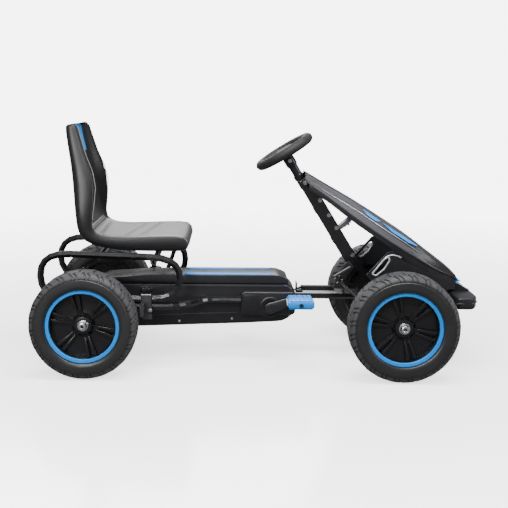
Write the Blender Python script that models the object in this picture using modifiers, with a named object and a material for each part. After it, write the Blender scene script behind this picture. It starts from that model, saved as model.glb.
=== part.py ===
"""Child's pedal go kart with a sliding seat, chain drive and tie-rod steering.

Frame: +X is forward, +Y is the driver's left, +Z is up. The origin is on the floor,
half way along the kart and half way across it. Lengths are in metres.
"""
import math

import bmesh
import bpy
from mathutils import Matrix, Vector

# Driving dimensions
TYRE_RADIUS = 0.135
TYRE_WIDTH = 0.083
WHEELBASE = 0.788
REAR_TRACK = 0.450
FRONT_TRACK = 0.458
NOSE_REACH = 0.205          # front axle to bumper face
GAP = 0.0003                # play between pieces that touch
WALL = 0.0025               # plastic mouldings

OVERALL_LENGTH = TYRE_RADIUS + WHEELBASE + NOSE_REACH
REAR_X = TYRE_RADIUS - OVERALL_LENGTH / 2
FRONT_X = REAR_X + WHEELBASE
AXLE_Z = TYRE_RADIUS

# The body outlines are drawn for a 0.135 m axle height and a 0.788 m wheelbase
LIFT = AXLE_Z - 0.135
STRETCH = WHEELBASE - 0.788

# Frame tubes. Heights are measured from the axle height.
BEAM_WIDTH = 0.040
BEAM_HEIGHT = 0.022
BEAM_BOTTOM = AXLE_Z + 0.023
BEAM_TOP = BEAM_BOTTOM + BEAM_HEIGHT
STIFFENER_WIDTH = 0.018
STIFFENER_HEIGHT = 0.011
RAIL_RADIUS = 0.009
RAIL_Z = AXLE_Z + 0.0295
RAIL_Y = 0.147              # where the seat slides
RAIL_NARROW_Y = 0.0695      # beside the chain case
RAIL_BACK = 0.062           # rear run, behind the axle
RAIL_BEND_FROM = 0.235
RAIL_BEND_TO = 0.298

# Wheels
SEAT_RADIUS = 0.0925        # tyre bore
RING_INNER = 0.083
RING_THICKNESS = 0.006
RING_INSET = 0.0076         # ring face below the tyre's side
AXLE_RADIUS = 0.008
SPINDLE_RADIUS = 0.006
HUB_RADIUS = 0.024
HUB_OUT = 0.020             # hub face, outboard of the wheel's middle
HUB_IN = 0.030
NUT_RADIUS = 0.0145
NUT_THICKNESS = 0.008
AXLE_END = HUB_OUT + NUT_THICKNESS + 0.005
TYRE_SIDES = 28
RIM_SIDES = 16

# Chain drive
CHAIN_PITCH = 0.0127
DRIVE_TEETH = 18
DRIVEN_TEETH = 14
CHAIN_Y = -0.040
SPROCKET_THICKNESS = 0.003
CRANK_FROM_REAR = 0.469
CRANK_Z = AXLE_Z + 0.012
CRANK_RADIUS = 0.007
CRANK_ARM = 0.0788
CRANK_ANGLE = math.radians(20)
ARM_WIDTH = 0.020
ARM_THICKNESS = 0.008
PEDAL_SIZE = (0.066, 0.080, 0.022)
PEDAL_SPINDLE_RADIUS = 0.005
CASE_HALF_WIDTH = 0.058
COVER_DEPTH = 0.021
CASE_SEAM = 0.071           # top of the case halves, above the axle
LID_HEIGHT = 0.023

# Seat and its frame
HOOP_RADIUS = 0.0095
HOOP_Z = RAIL_Z + RAIL_RADIUS + HOOP_RADIUS + GAP
HOOP_REAR = -0.1215
HOOP_FRONT = 0.236
SEAT_HALF_WIDTH = 0.150
FLANK = 0.026
SEAT_TOP_SHARE = 0.68       # width of the backrest's top against the pan's
CLAMP_X = 0.150

# Steering
RAKE = math.radians(58.5)
WHEEL_CENTRE_FROM_REAR = 0.504 + STRETCH
WHEEL_CENTRE_Z = 0.5505 + LIFT
SHAFT_RADIUS = 0.006
SHAFT_LENGTH = 0.360
RIM_TUBE = 0.013
RIM_HALF_LENGTH = 0.070
RIM_HALF_WIDTH = 0.082
PITMAN_LENGTH = 0.050
PITMAN_PIN = 0.003
ARM_PLATE = 0.004
EYE_PLAY = 0.0035
EYE_THICKNESS = 0.005
EYE_DEPTHS = {1: 0.0065, -1: 0.0190}    # left rod's eye above the right rod's
LINK_RADIUS = 0.003
KNUCKLE_ARM = 0.060
KINGPIN_Y = FRONT_TRACK / 2 - TYRE_WIDTH / 2 - 0.0195
KINGPIN_RADIUS = 0.005
BARREL_RADIUS = 0.010
BARREL_HEIGHT = 0.028
POST_BACK = SHAFT_RADIUS + 0.001
POST_DEPTH = 0.016
POST_WIDTH = 0.025
POST_TOP = -0.160

# Brake
BRAKE_X = 0.160
BRAKE_Z = AXLE_Z + 0.0075
BRAKE_RADIUS = 0.005
LEVER_Y = 0.105

# Bodywork
LINER_DEPTH = 0.012
POD_Y = 0.1345
POD_THICKNESS = 0.007
BUMPER_DEPTH = 0.058
BUMPER_HEIGHT = 0.030
BUMPER_HALF_WIDTH = 0.155
BUMPER_TOP = BEAM_TOP + 0.012


def clear_scene():
    for item in list(bpy.data.objects):
        bpy.data.objects.remove(item, do_unlink=True)


clear_scene()
KART = bpy.data.collections.new("pedal_go_kart")
CUTTERS = bpy.data.collections.new("cutters")
bpy.context.scene.collection.children.link(KART)
bpy.context.scene.collection.children.link(CUTTERS)


def finish(name, colour, roughness, metallic):
    made = bpy.data.materials.new(name)
    made.use_nodes = True
    shader = made.node_tree.nodes["Principled BSDF"]
    shader.inputs["Base Color"].default_value = (*colour, 1)
    shader.inputs["Roughness"].default_value = roughness
    shader.inputs["Metallic"].default_value = metallic
    return made


PAINT = finish("black_paint", (0.012, 0.012, 0.014), 0.35, 0.0)
PLASTIC = finish("black_plastic", (0.02, 0.02, 0.023), 0.45, 0.0)
SEAT_PLASTIC = finish("seat_plastic", (0.025, 0.025, 0.028), 0.5, 0.0)
RUBBER = finish("tyre_rubber", (0.03, 0.03, 0.033), 0.75, 0.0)
BLUE = finish("blue_plastic", (0.01, 0.33, 0.8), 0.35, 0.0)
STEEL = finish("plated_steel", (0.6, 0.6, 0.62), 0.3, 1.0)
DARK_STEEL = finish("dark_steel", (0.12, 0.12, 0.13), 0.4, 1.0)


def at(from_rear, y, z):
    """A point given by its distance ahead of the rear axle."""
    return Vector((REAR_X + from_rear, y, z))


def pivot(name, place, turn=(0, 0, 0)):
    empty = bpy.data.objects.new(name, None)
    KART.objects.link(empty)
    empty.location = place
    empty.rotation_euler = turn
    return empty


def add(name, data, skin, place=(0, 0, 0), turn=(0, 0, 0), parent=None):
    item = bpy.data.objects.new(name, data)
    data.materials.append(skin)
    KART.objects.link(item)
    item.location = place
    item.rotation_euler = turn
    item.parent = parent
    return item


def mesh_of(name, build):
    """A mesh made by build(bm), shaded smooth with its hard edges kept."""
    bm = bmesh.new()
    build(bm)
    bmesh.ops.recalc_face_normals(bm, faces=bm.faces)
    mesh = bpy.data.meshes.new(name)
    bm.to_mesh(mesh)
    bm.free()
    mesh.shade_smooth()
    mesh.set_sharp_from_angle(angle=math.radians(35))
    return mesh


def block(name, size, skin, place=(0, 0, 0), turn=(0, 0, 0), parent=None, edge=0.0):
    def build(bm):
        bmesh.ops.create_cube(bm, size=1)
        bmesh.ops.scale(bm, vec=size, verts=bm.verts)
    item = add(name, mesh_of(name, build), skin, place, turn, parent)
    if edge:
        bevel = item.modifiers.new("edges", "BEVEL")
        bevel.width = edge
        bevel.segments = 1
    return item


def span(name, low, high, skin, parent=None, edge=0.0):
    """A block between two corners."""
    low, high = Vector(low), Vector(high)
    return block(name, high - low, skin, (low + high) / 2, parent=parent, edge=edge)


def across(name, x, depth, y_one, y_two, z_low, z_high, skin=None, parent=None):
    """A block centred on x that runs across between two y values, in either order."""
    return span(name, (x - depth / 2, min(y_one, y_two), z_low), (x + depth / 2, max(y_one, y_two), z_high),
                skin or PAINT, parent)


ALONG = {"X": (0, math.pi / 2, 0), "Y": (math.pi / 2, 0, 0), "Z": (0, 0, 0)}


def rod(name, radius, length, skin, place, along="Y", sides=20, parent=None):
    def build(bm):
        bmesh.ops.create_cone(bm, cap_ends=True, segments=sides, radius1=radius,
                              radius2=radius, depth=length)
    return add(name, mesh_of(name, build), skin, place, ALONG[along], parent)


def turned(name, profile, steps, skin, place=(0, 0, 0), parent=None, start=0.0):
    """A closed (radius, height) profile turned about its local Z axis, from an angle."""
    mesh = bpy.data.meshes.new(name)
    points = [(radius * math.cos(start), radius * math.sin(start), height) for radius, height in profile]
    edges = [(k, (k + 1) % len(points)) for k in range(len(points))]
    mesh.from_pydata(points, edges, [])
    item = add(name, mesh, skin, place, parent=parent)
    screw = item.modifiers.new("turn", "SCREW")
    screw.steps = screw.render_steps = steps
    screw.use_merge_vertices = True
    screw.merge_threshold = 0.0001
    screw.use_smooth_shade = False
    return item


def rounded(points, bend, steps=4, closed=False):
    """A path through its corner points, with each corner eased over the length bend."""
    points = [Vector(p) for p in points]
    count = len(points)
    path = []
    for k, corner in enumerate(points):
        if not closed and k in (0, count - 1):
            path.append(corner)
            continue
        before = points[k - 1] - corner
        after = points[(k + 1) % count] - corner
        start = corner + before.normalized() * min(bend, before.length * 0.49)
        end = corner + after.normalized() * min(bend, after.length * 0.49)
        for step in range(steps + 1):
            t = step / steps
            path.append(start * (1 - t) ** 2 + corner * 2 * t * (1 - t) + end * t ** 2)
    return path


def pipe(name, points, radius, skin, parent=None, closed=False, detail=1):
    """A round tube along a path of points."""
    curve = bpy.data.curves.new(name, "CURVE")
    curve.dimensions = "3D"
    line = curve.splines.new("POLY")
    line.points.add(len(points) - 1)
    for spot, point in zip(line.points, points):
        spot.co = (*point, 1)
    line.use_cyclic_u = closed
    curve.bevel_depth = radius
    curve.bevel_resolution = detail
    curve.use_fill_caps = not closed
    return add(name, curve, skin, parent=parent)


def plate(name, outline, thickness, skin, place=(0, 0, 0), turn=(0, 0, 0), holes=(), parent=None):
    """A flat outline in local X and Y, thickened both ways along local Z."""
    curve = bpy.data.curves.new(name, "CURVE")
    curve.dimensions = "2D"
    curve.fill_mode = "BOTH"
    curve.extrude = thickness / 2
    for ring in (outline, *holes):
        line = curve.splines.new("POLY")
        line.points.add(len(ring) - 1)
        for spot, (x, y) in zip(line.points, ring):
            spot.co = (x, y, 0, 1)
        line.use_cyclic_u = True
    return add(name, curve, skin, place, turn, parent)


def as_mesh(item):
    """The same piece as a welded mesh object, so that it can be cut or joined."""
    bpy.context.view_layer.update()
    graph = bpy.context.evaluated_depsgraph_get()
    mesh = bpy.data.meshes.new_from_object(item.evaluated_get(graph))
    bm = bmesh.new()
    bm.from_mesh(mesh)
    bmesh.ops.remove_doubles(bm, verts=bm.verts, dist=0.00002)
    bmesh.ops.recalc_face_normals(bm, faces=bm.faces)
    bm.to_mesh(mesh)
    bm.free()
    name, parent, world = item.name, item.parent, item.matrix_world.copy()
    bpy.data.objects.remove(item, do_unlink=True)
    made = bpy.data.objects.new(name, mesh)
    KART.objects.link(made)
    made.parent = parent
    made.matrix_world = world
    return made


def shape_with(target, other, operation):
    """Joins other to target, or cuts it away, and puts other among the cutters."""
    if other.type == "CURVE":
        other = as_mesh(other)
    for collection in list(other.users_collection):
        collection.objects.unlink(other)
    CUTTERS.objects.link(other)
    other.hide_render = True
    other.display_type = "WIRE"
    change = target.modifiers.new(operation.lower(), "BOOLEAN")
    change.operation = operation
    change.object = other
    return target


def join(target, *others):
    if target.type == "CURVE":
        target = as_mesh(target)
    for other in others:
        shape_with(target, other, "UNION")
    return target


def cut(target, *others):
    if target.type == "CURVE":
        target = as_mesh(target)
    for other in others:
        shape_with(target, other, "DIFFERENCE")
    return target


def circle(radius, sides, centre=(0, 0), start=0.0):
    angles = [start + 2 * math.pi * k / sides for k in range(sides)]
    return [(centre[0] + radius * math.cos(a), centre[1] + radius * math.sin(a)) for a in angles]


def inset(outline, depth):
    """A counter-clockwise outline moved inwards by depth."""
    moved = []
    for k, point in enumerate(outline):
        point = Vector(point)
        into = (point - Vector(outline[k - 1])).normalized()
        out = (Vector(outline[(k + 1) % len(outline)]) - point).normalized()
        normal = Vector((-into.y - out.y, into.x + out.x)).normalized()
        lean = max(normal.dot(Vector((-into.y, into.x))), 0.5)
        moved.append(tuple(point + normal * depth / lean))
    return moved


def slab(name, outline, y_low, y_high, skin, narrow=None, parent=None):
    """A side outline of (distance ahead of the rear axle, height), drawn out across Y."""
    def build(bm):
        near = [bm.verts.new((REAR_X + x, y_low, z)) for x, z in outline]
        face = bm.faces.new(near)
        grown = bmesh.ops.extrude_face_region(bm, geom=[face])["geom"]
        far = [v for v in grown if isinstance(v, bmesh.types.BMVert)]
        bmesh.ops.translate(bm, vec=(0, y_high - y_low, 0), verts=far)
        if narrow:
            for vert in bm.verts:
                vert.co.y *= narrow(vert.co.z)
    return add(name, mesh_of(name, build), skin, parent=parent)


def drawn(outline, forward=0.0):
    """An outline lifted with the axle height, and moved forward."""
    return [(x + forward, z + LIFT) for x, z in outline]


def side_name(stem, side):
    return f"{stem}_{'left' if side > 0 else 'right'}"


# ---------------------------------------------------------------- frame

def beam():
    front = FRONT_X + NOSE_REACH - BUMPER_DEPTH - GAP
    rear = REAR_X - RAIL_BACK + RAIL_RADIUS + GAP
    tube = span("main_beam", (rear, -BEAM_WIDTH / 2, BEAM_BOTTOM),
                (front, BEAM_WIDTH / 2, BEAM_TOP), PAINT, edge=0.006)
    low, high = BEAM_TOP - 0.004, BEAM_TOP + STIFFENER_HEIGHT
    start = CRANK_FROM_REAR + 0.085
    end = WHEELBASE - 0.155                  # short of the tie rods' sweep
    ridge = slab("ridge", [(start, low), (end + high - low, low), (end, high), (start, high)],
                 -STIFFENER_WIDTH / 2, STIFFENER_WIDTH / 2, PAINT)
    return join(tube, ridge)


def rear_frame():
    """One bent tube: forward along each side, and across behind the axle."""
    half = [(RAIL_BEND_TO + 0.094, RAIL_NARROW_Y), (RAIL_BEND_TO, RAIL_NARROW_Y),
            (RAIL_BEND_FROM, RAIL_Y), (-RAIL_BACK, RAIL_Y)]
    corners = [at(x, y, RAIL_Z) for x, y in half]
    corners += [at(x, -y, RAIL_Z) for x, y in reversed(half)]
    pipe("rear_frame", rounded(corners, 0.035), RAIL_RADIUS, PAINT, detail=2)


def axle_bearings():
    for side in (1, -1):
        top = RAIL_Z - RAIL_RADIUS - GAP
        body = span(side_name("axle_bearing", side),
                    (REAR_X - 0.020, side * RAIL_Y - 0.008, AXLE_Z - 0.020),
                    (REAR_X + 0.020, side * RAIL_Y + 0.008, top), PAINT, edge=0.003)
        cut(body, rod("bore", AXLE_RADIUS + GAP, 0.03, PAINT, (REAR_X, side * RAIL_Y, AXLE_Z)))


def front_axle():
    height = 0.025
    top = BEAM_BOTTOM - GAP
    reach = KINGPIN_Y - BARREL_RADIUS - 0.006
    axle = span("front_axle_beam", (FRONT_X - 0.014, -reach, top - height),
                (FRONT_X + 0.014, reach, top), PAINT)
    low = AXLE_Z - BARREL_HEIGHT / 2 - GAP
    high = AXLE_Z + BARREL_HEIGHT / 2 + GAP
    for side in (1, -1):
        inner, outer = side * (reach - 0.006), side * (KINGPIN_Y + BARREL_RADIUS)
        lugs = [across("lug", FRONT_X, 0.022, inner, outer, z, z + 0.004) for z in (low - 0.004, high)]
        web = across("web", FRONT_X, 0.022, inner, side * reach, low - 0.002, high + 0.002)
        pin = rod("pin", KINGPIN_RADIUS, BARREL_HEIGHT + 0.016, STEEL,
                  (FRONT_X, side * KINGPIN_Y, AXLE_Z), "Z", 16)
        join(axle, web, *lugs, pin)


# ---------------------------------------------------------------- wheels

def wheel(stem, hub, bore):
    """Tyre, rim, coloured ring and nut about a pivot whose local Z points outboard."""
    half = TYRE_WIDTH / 2
    ring_face = half - RING_INSET
    step = math.pi / TYRE_SIDES
    tread = TYRE_RADIUS / math.cos(step)        # the flats, not the corners, touch the floor
    outer_half = [(SEAT_RADIUS, ring_face + 0.001), (tread - 0.017, half), (tread - 0.007, half - 0.003),
                  (tread - 0.0015, half - 0.011), (tread, half - 0.028)]
    profile = outer_half + [(r, -z) for r, z in reversed(outer_half)]
    turned(f"{stem}_tyre", profile, TYRE_SIDES, RUBBER, parent=hub, start=step)

    rim_radius = SEAT_RADIUS * math.cos(step) - GAP
    front = ring_face - RING_THICKNESS - GAP
    web = 0.002
    rim = turned(f"{stem}_rim", [
        (rim_radius, front), (rim_radius, -ring_face), (RING_INNER, -ring_face), (RING_INNER, -0.006),
        (HUB_RADIUS, -0.006), (HUB_RADIUS, -HUB_IN), (bore, -HUB_IN), (bore, HUB_OUT),
        (HUB_RADIUS - 0.004, HUB_OUT), (HUB_RADIUS - 0.002, web), (RING_INNER - 0.002, web),
        (RING_INNER, front)], RIM_SIDES, PLASTIC, parent=hub)
    spoke = []
    for k in range(6):
        angle = math.pi * k / 3
        for r, across in ((HUB_RADIUS - 0.0005, -0.009), (RING_INNER + 0.003, -0.011),
                          (RING_INNER + 0.003, 0.011), (HUB_RADIUS - 0.0005, 0.009)):
            spoke.append((r * math.cos(angle) - across * math.sin(angle),
                          r * math.sin(angle) + across * math.cos(angle)))
    star = plate("star", spoke, 0.012, PLASTIC, (0, 0, web + 0.004), parent=hub,
                 holes=[circle(HUB_RADIUS - 0.003, 16)])
    join(rim, star)
    outer, inner = circle(rim_radius, RIM_SIDES), circle(RING_INNER, RIM_SIDES)
    plate(f"{stem}_ring", outer, RING_THICKNESS, BLUE, (0, 0, ring_face - RING_THICKNESS / 2),
          holes=[inner], parent=hub)
    flats = bore / math.cos(math.pi / 12)       # the bore's flats clear the axle
    plate(f"{stem}_nut", circle(NUT_RADIUS, 6), NUT_THICKNESS, STEEL,
          (0, 0, HUB_OUT + GAP + NUT_THICKNESS / 2), holes=[circle(flats, 12)], parent=hub)


def outboard(side):
    return (-side * math.pi / 2, 0, 0)


def rear_wheels():
    for side in (1, -1):
        stem = f"rear_{'left' if side > 0 else 'right'}"
        hub = pivot(f"{stem}_wheel_axis", (REAR_X, side * REAR_TRACK / 2, AXLE_Z), outboard(side))
        wheel(stem, hub, AXLE_RADIUS + GAP)
    rod("rear_axle", AXLE_RADIUS, REAR_TRACK + 2 * AXLE_END, STEEL, (REAR_X, 0, AXLE_Z))


def front_wheels():
    for side in (1, -1):
        stem = f"front_{'left' if side > 0 else 'right'}"
        hub = pivot(f"{stem}_wheel_axis", (FRONT_X, side * FRONT_TRACK / 2, AXLE_Z), outboard(side))
        wheel(stem, hub, SPINDLE_RADIUS + GAP)


# ---------------------------------------------------------------- steering

STEER = pivot("steering_axis", at(WHEEL_CENTRE_FROM_REAR, 0, WHEEL_CENTRE_Z), (0, RAKE - math.pi / 2, 0))


def steer_point(x, y, z):
    """A point of the raked steering frame in the kart's frame."""
    turn = Matrix.Rotation(RAKE - math.pi / 2, 4, "Y")
    return at(WHEEL_CENTRE_FROM_REAR, 0, WHEEL_CENTRE_Z) + turn @ Vector((x, y, z))


def steering_parts():
    shaft = rod("steering_shaft", SHAFT_RADIUS, SHAFT_LENGTH, DARK_STEEL,
                (0, 0, -SHAFT_LENGTH / 2), "Z", 16, STEER)
    arm = span("arm", (-PITMAN_LENGTH - 0.007, -SHAFT_RADIUS, -SHAFT_LENGTH),
               (0, SHAFT_RADIUS, -SHAFT_LENGTH + ARM_PLATE), DARK_STEEL, STEER)
    pin_length = EYE_DEPTHS[-1] + EYE_THICKNESS + 0.004
    pin = rod("pin", PITMAN_PIN, pin_length, STEEL,
              (-PITMAN_LENGTH, 0, -SHAFT_LENGTH + ARM_PLATE / 2 - pin_length / 2), "Z", 12, STEER)
    join(shaft, arm, pin)

    oval = [(RIM_HALF_LENGTH * math.cos(a), RIM_HALF_WIDTH * math.sin(a), 0)
            for a in (2 * math.pi * k / 24 for k in range(24))]
    rim = pipe("steering_wheel", oval, RIM_TUBE, PLASTIC, STEER, closed=True, detail=2)
    hub = rod("hub", 0.026, 0.018, PLASTIC, (0, 0, -0.004), "Z", 20, STEER)
    bar = block("bar", (0.022, 2 * RIM_HALF_WIDTH, 0.009), PLASTIC, (0, 0, -0.002), parent=STEER)
    stem = block("stem", (RIM_HALF_LENGTH, 0.022, 0.009), PLASTIC,
                 (-RIM_HALF_LENGTH / 2, 0, -0.002), parent=STEER)
    bore = rod("bore", SHAFT_RADIUS + GAP, 0.02, PLASTIC, (0, 0, -0.0095), "Z", 16, STEER)
    cut(join(rim, hub, bar, stem), bore)

    turned("steering_sleeve", [
        (0.0145, -0.0135), (0.0145, -0.040), (0.0115, -0.044), (0.0115, -0.086),
        (SHAFT_RADIUS + GAP, -0.086), (SHAFT_RADIUS + GAP, -0.0135)], 16, PLASTIC, parent=STEER)


def post_and_bushes():
    length = (WHEEL_CENTRE_Z - BEAM_BOTTOM) / math.sin(RAKE)
    post = span("steering_post", (POST_BACK, -POST_WIDTH / 2, -length),
                (POST_BACK + POST_DEPTH, POST_WIDTH / 2, POST_TOP), PAINT, STEER)
    floor = span("floor", (-1, -0.1, -0.1), (1, 0.1, BEAM_TOP + GAP), PAINT)
    cut(post, floor)
    for name, height in (("shaft_bush_top", POST_TOP - 0.016), ("shaft_bush_bottom", -0.270)):
        bush = span(name, (-0.011, -0.012, height - 0.009), (POST_BACK - GAP, 0.012, height + 0.009),
                    DARK_STEEL, STEER, edge=0.002)
        cut(bush, rod("bore", SHAFT_RADIUS + GAP, 0.05, PAINT, (0, 0, height), "Z", 16, STEER))


def knuckles():
    arm_top = AXLE_Z + BARREL_HEIGHT / 2
    for side in (1, -1):
        king = pivot(side_name("kingpin_axis", side), (FRONT_X, side * KINGPIN_Y, AXLE_Z))
        barrel = rod(side_name("knuckle", side), BARREL_RADIUS, BARREL_HEIGHT, DARK_STEEL,
                     (0, 0, 0), "Z", 16, king)
        reach = FRONT_TRACK / 2 + AXLE_END - KINGPIN_Y
        stub = rod("stub", SPINDLE_RADIUS, reach, STEEL, (0, side * reach / 2, 0), "Y", 20, king)
        shoulder = rod("shoulder", 0.009, 0.0115, STEEL,
                       (0, side * (FRONT_TRACK / 2 - HUB_IN - GAP - KINGPIN_Y - 0.00575), 0), "Y", 20, king)
        arm = span("arm", (-KNUCKLE_ARM - 0.008, -0.007, BARREL_HEIGHT / 2 - 0.005),
                   (0, 0.007, BARREL_HEIGHT / 2), DARK_STEEL, king)
        bore = rod("bore", KINGPIN_RADIUS + GAP, 0.05, STEEL, (0, 0, 0), "Z", 16, king)
        cut(join(barrel, stub, shoulder, arm), bore)

        ball = pivot(side_name("tie_rod_axis", side), (FRONT_X - KNUCKLE_ARM, side * KINGPIN_Y, arm_top))
        centre = steer_point(-PITMAN_LENGTH, 0, -SHAFT_LENGTH - EYE_DEPTHS[side]) - ball.location
        outer = Vector((0, 0, 0.0045))
        toward = (outer - centre).normalized()
        eye_radius = PITMAN_PIN + EYE_PLAY
        link = pipe(side_name("tie_rod", side), [outer, centre + toward * (eye_radius + 0.0015)],
                    LINK_RADIUS, STEEL, ball)
        eye = plate("eye", circle(eye_radius + 0.0035, 20), EYE_THICKNESS, STEEL, centre,
                    (0, RAKE - math.pi / 2, 0), [circle(eye_radius, 16)], ball)
        boot = rod("boot", 0.006, 0.010, STEEL, (0, 0, 0.005 + GAP), "Z", 14, ball)
        join(link, eye, boot)


# ---------------------------------------------------------------- chain drive

def sprocket(name, teeth, skin, place, bore):
    pitch_radius = pitch_circle(teeth)
    outline = []
    for tooth in range(teeth):
        for share, rise in ((-0.22, -0.0035), (-0.10, 0.0018), (0.10, 0.0018), (0.22, -0.0035)):
            angle = 2 * math.pi * (tooth + share) / teeth
            radius = pitch_radius + rise
            outline.append((radius * math.cos(angle), radius * math.sin(angle)))
    return plate(name, outline, SPROCKET_THICKNESS, skin, place, (math.pi / 2, 0, 0), [circle(bore, 16)])


def pitch_circle(teeth):
    return CHAIN_PITCH / 2 / math.sin(math.pi / teeth)


def chain_outline(grow):
    """The loop round both sprockets, moved outwards by grow, seen from the right."""
    small, large = pitch_circle(DRIVEN_TEETH) + grow, pitch_circle(DRIVE_TEETH) + grow
    run = Vector((CRANK_FROM_REAR, CRANK_Z - AXLE_Z))
    lean = math.atan2(run.y, run.x)
    swing = math.acos((small - large) / run.length)
    points = []
    for centre, radius, first, last in (((0, 0), small, swing, 2 * math.pi - swing),
                                        (tuple(run), large, -swing, swing)):
        for k in range(9):
            angle = lean + first + (last - first) * k / 8
            points.append((centre[0] + radius * math.cos(angle), centre[1] + radius * math.sin(angle)))
    return points


def drive_chain():
    """Two side plates round the sprockets, held apart by rollers on the straight runs."""
    loops = []
    for side in (1, -1):
        place = (REAR_X, CHAIN_Y + side * 0.0032, AXLE_Z)
        loops.append(plate("drive_chain", chain_outline(0.004), 0.0014, DARK_STEEL, place,
                           (math.pi / 2, 0, 0), [chain_outline(-0.004)]))
    chain = as_mesh(loops[0])
    chain.name = "drive_chain"
    lean = (pitch_circle(DRIVE_TEETH) - pitch_circle(DRIVEN_TEETH)) / CRANK_FROM_REAR
    rollers = []
    for share in (0.2, 0.4, 0.6, 0.8):
        x = CRANK_FROM_REAR * share
        middle = AXLE_Z + (CRANK_Z - AXLE_Z) * share
        reach = pitch_circle(DRIVEN_TEETH) + lean * x
        for z in (middle + reach, middle - reach):
            rollers.append(rod("roller", 0.003, 0.0072, DARK_STEEL, (REAR_X + x, CHAIN_Y, z), "Y", 8))
    join(chain, loops[1], *rollers)


def crank_parts():
    axle = at(CRANK_FROM_REAR, 0, CRANK_Z)
    spin = pivot("crank_axis", axle)
    shell = block("crank_bracket", (0.032, BEAM_WIDTH, BEAM_BOTTOM - GAP - CRANK_Z + 0.015), PAINT,
                  (axle.x, 0, (BEAM_BOTTOM - GAP + CRANK_Z - 0.015) / 2), edge=0.003)
    cut(shell, rod("bore", CRANK_RADIUS + GAP, 0.06, PAINT, axle, "Y", 20))
    arm_in = CASE_HALF_WIDTH + COVER_DEPTH + 0.0045
    arm_mid = arm_in + ARM_THICKNESS / 2
    spindle = PEDAL_SIZE[1] + 0.008
    crank = rod("crank", CRANK_RADIUS, 2 * arm_mid, STEEL, (0, 0, 0), "Y", 20, spin)
    for side in (1, -1):
        angle = CRANK_ANGLE if side < 0 else CRANK_ANGLE + math.pi
        tip = Vector((math.cos(angle), 0, math.sin(angle))) * CRANK_ARM
        arm = block("arm", (CRANK_ARM + ARM_WIDTH, ARM_THICKNESS, ARM_WIDTH), STEEL,
                    tip / 2 + Vector((0, side * arm_mid, 0)), (0, -angle, 0), spin)
        pin = rod("pin", PEDAL_SPINDLE_RADIUS, spindle, STEEL,
                  tip + Vector((0, side * (arm_mid + spindle / 2), 0)), "Y", 14, spin)
        join(crank, arm, pin)
        tread = pivot(side_name("pedal_axis", side), tip + Vector((0, side * arm_mid, 0)))
        tread.parent = spin
        pedal_y = side * (ARM_THICKNESS / 2 + 0.002 + PEDAL_SIZE[1] / 2)
        pedal = block(side_name("pedal", side), PEDAL_SIZE, BLUE, (0, pedal_y, 0), parent=tread, edge=0.004)
        cut(pedal, rod("bore", PEDAL_SPINDLE_RADIUS + GAP, PEDAL_SIZE[1] + 0.02, BLUE, (0, pedal_y, 0),
                       "Y", 14, tread))
    sprocket("drive_sprocket", DRIVE_TEETH, STEEL, (axle.x, CHAIN_Y, axle.z), CRANK_RADIUS + GAP)
    sprocket("driven_sprocket", DRIVEN_TEETH, STEEL, (REAR_X, CHAIN_Y, AXLE_Z), AXLE_RADIUS + GAP)


def case_outline():
    rear, nose = -RAIL_BACK + RAIL_RADIUS + 0.006, CRANK_FROM_REAR + 0.070
    low = AXLE_Z
    return [(rear, low - 0.030), (rear + 0.012, low - 0.045), (0.0, low - 0.051), (0.125, low - 0.048),
            (nose - 0.137, low - 0.037), (nose - 0.035, low - 0.031), (nose - 0.009, low - 0.014),
            (nose, low + 0.014), (nose - 0.004, low + 0.052), (nose - 0.020, low + CASE_SEAM),
            (0.020, low + CASE_SEAM), (rear, low + 0.048)]


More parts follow.
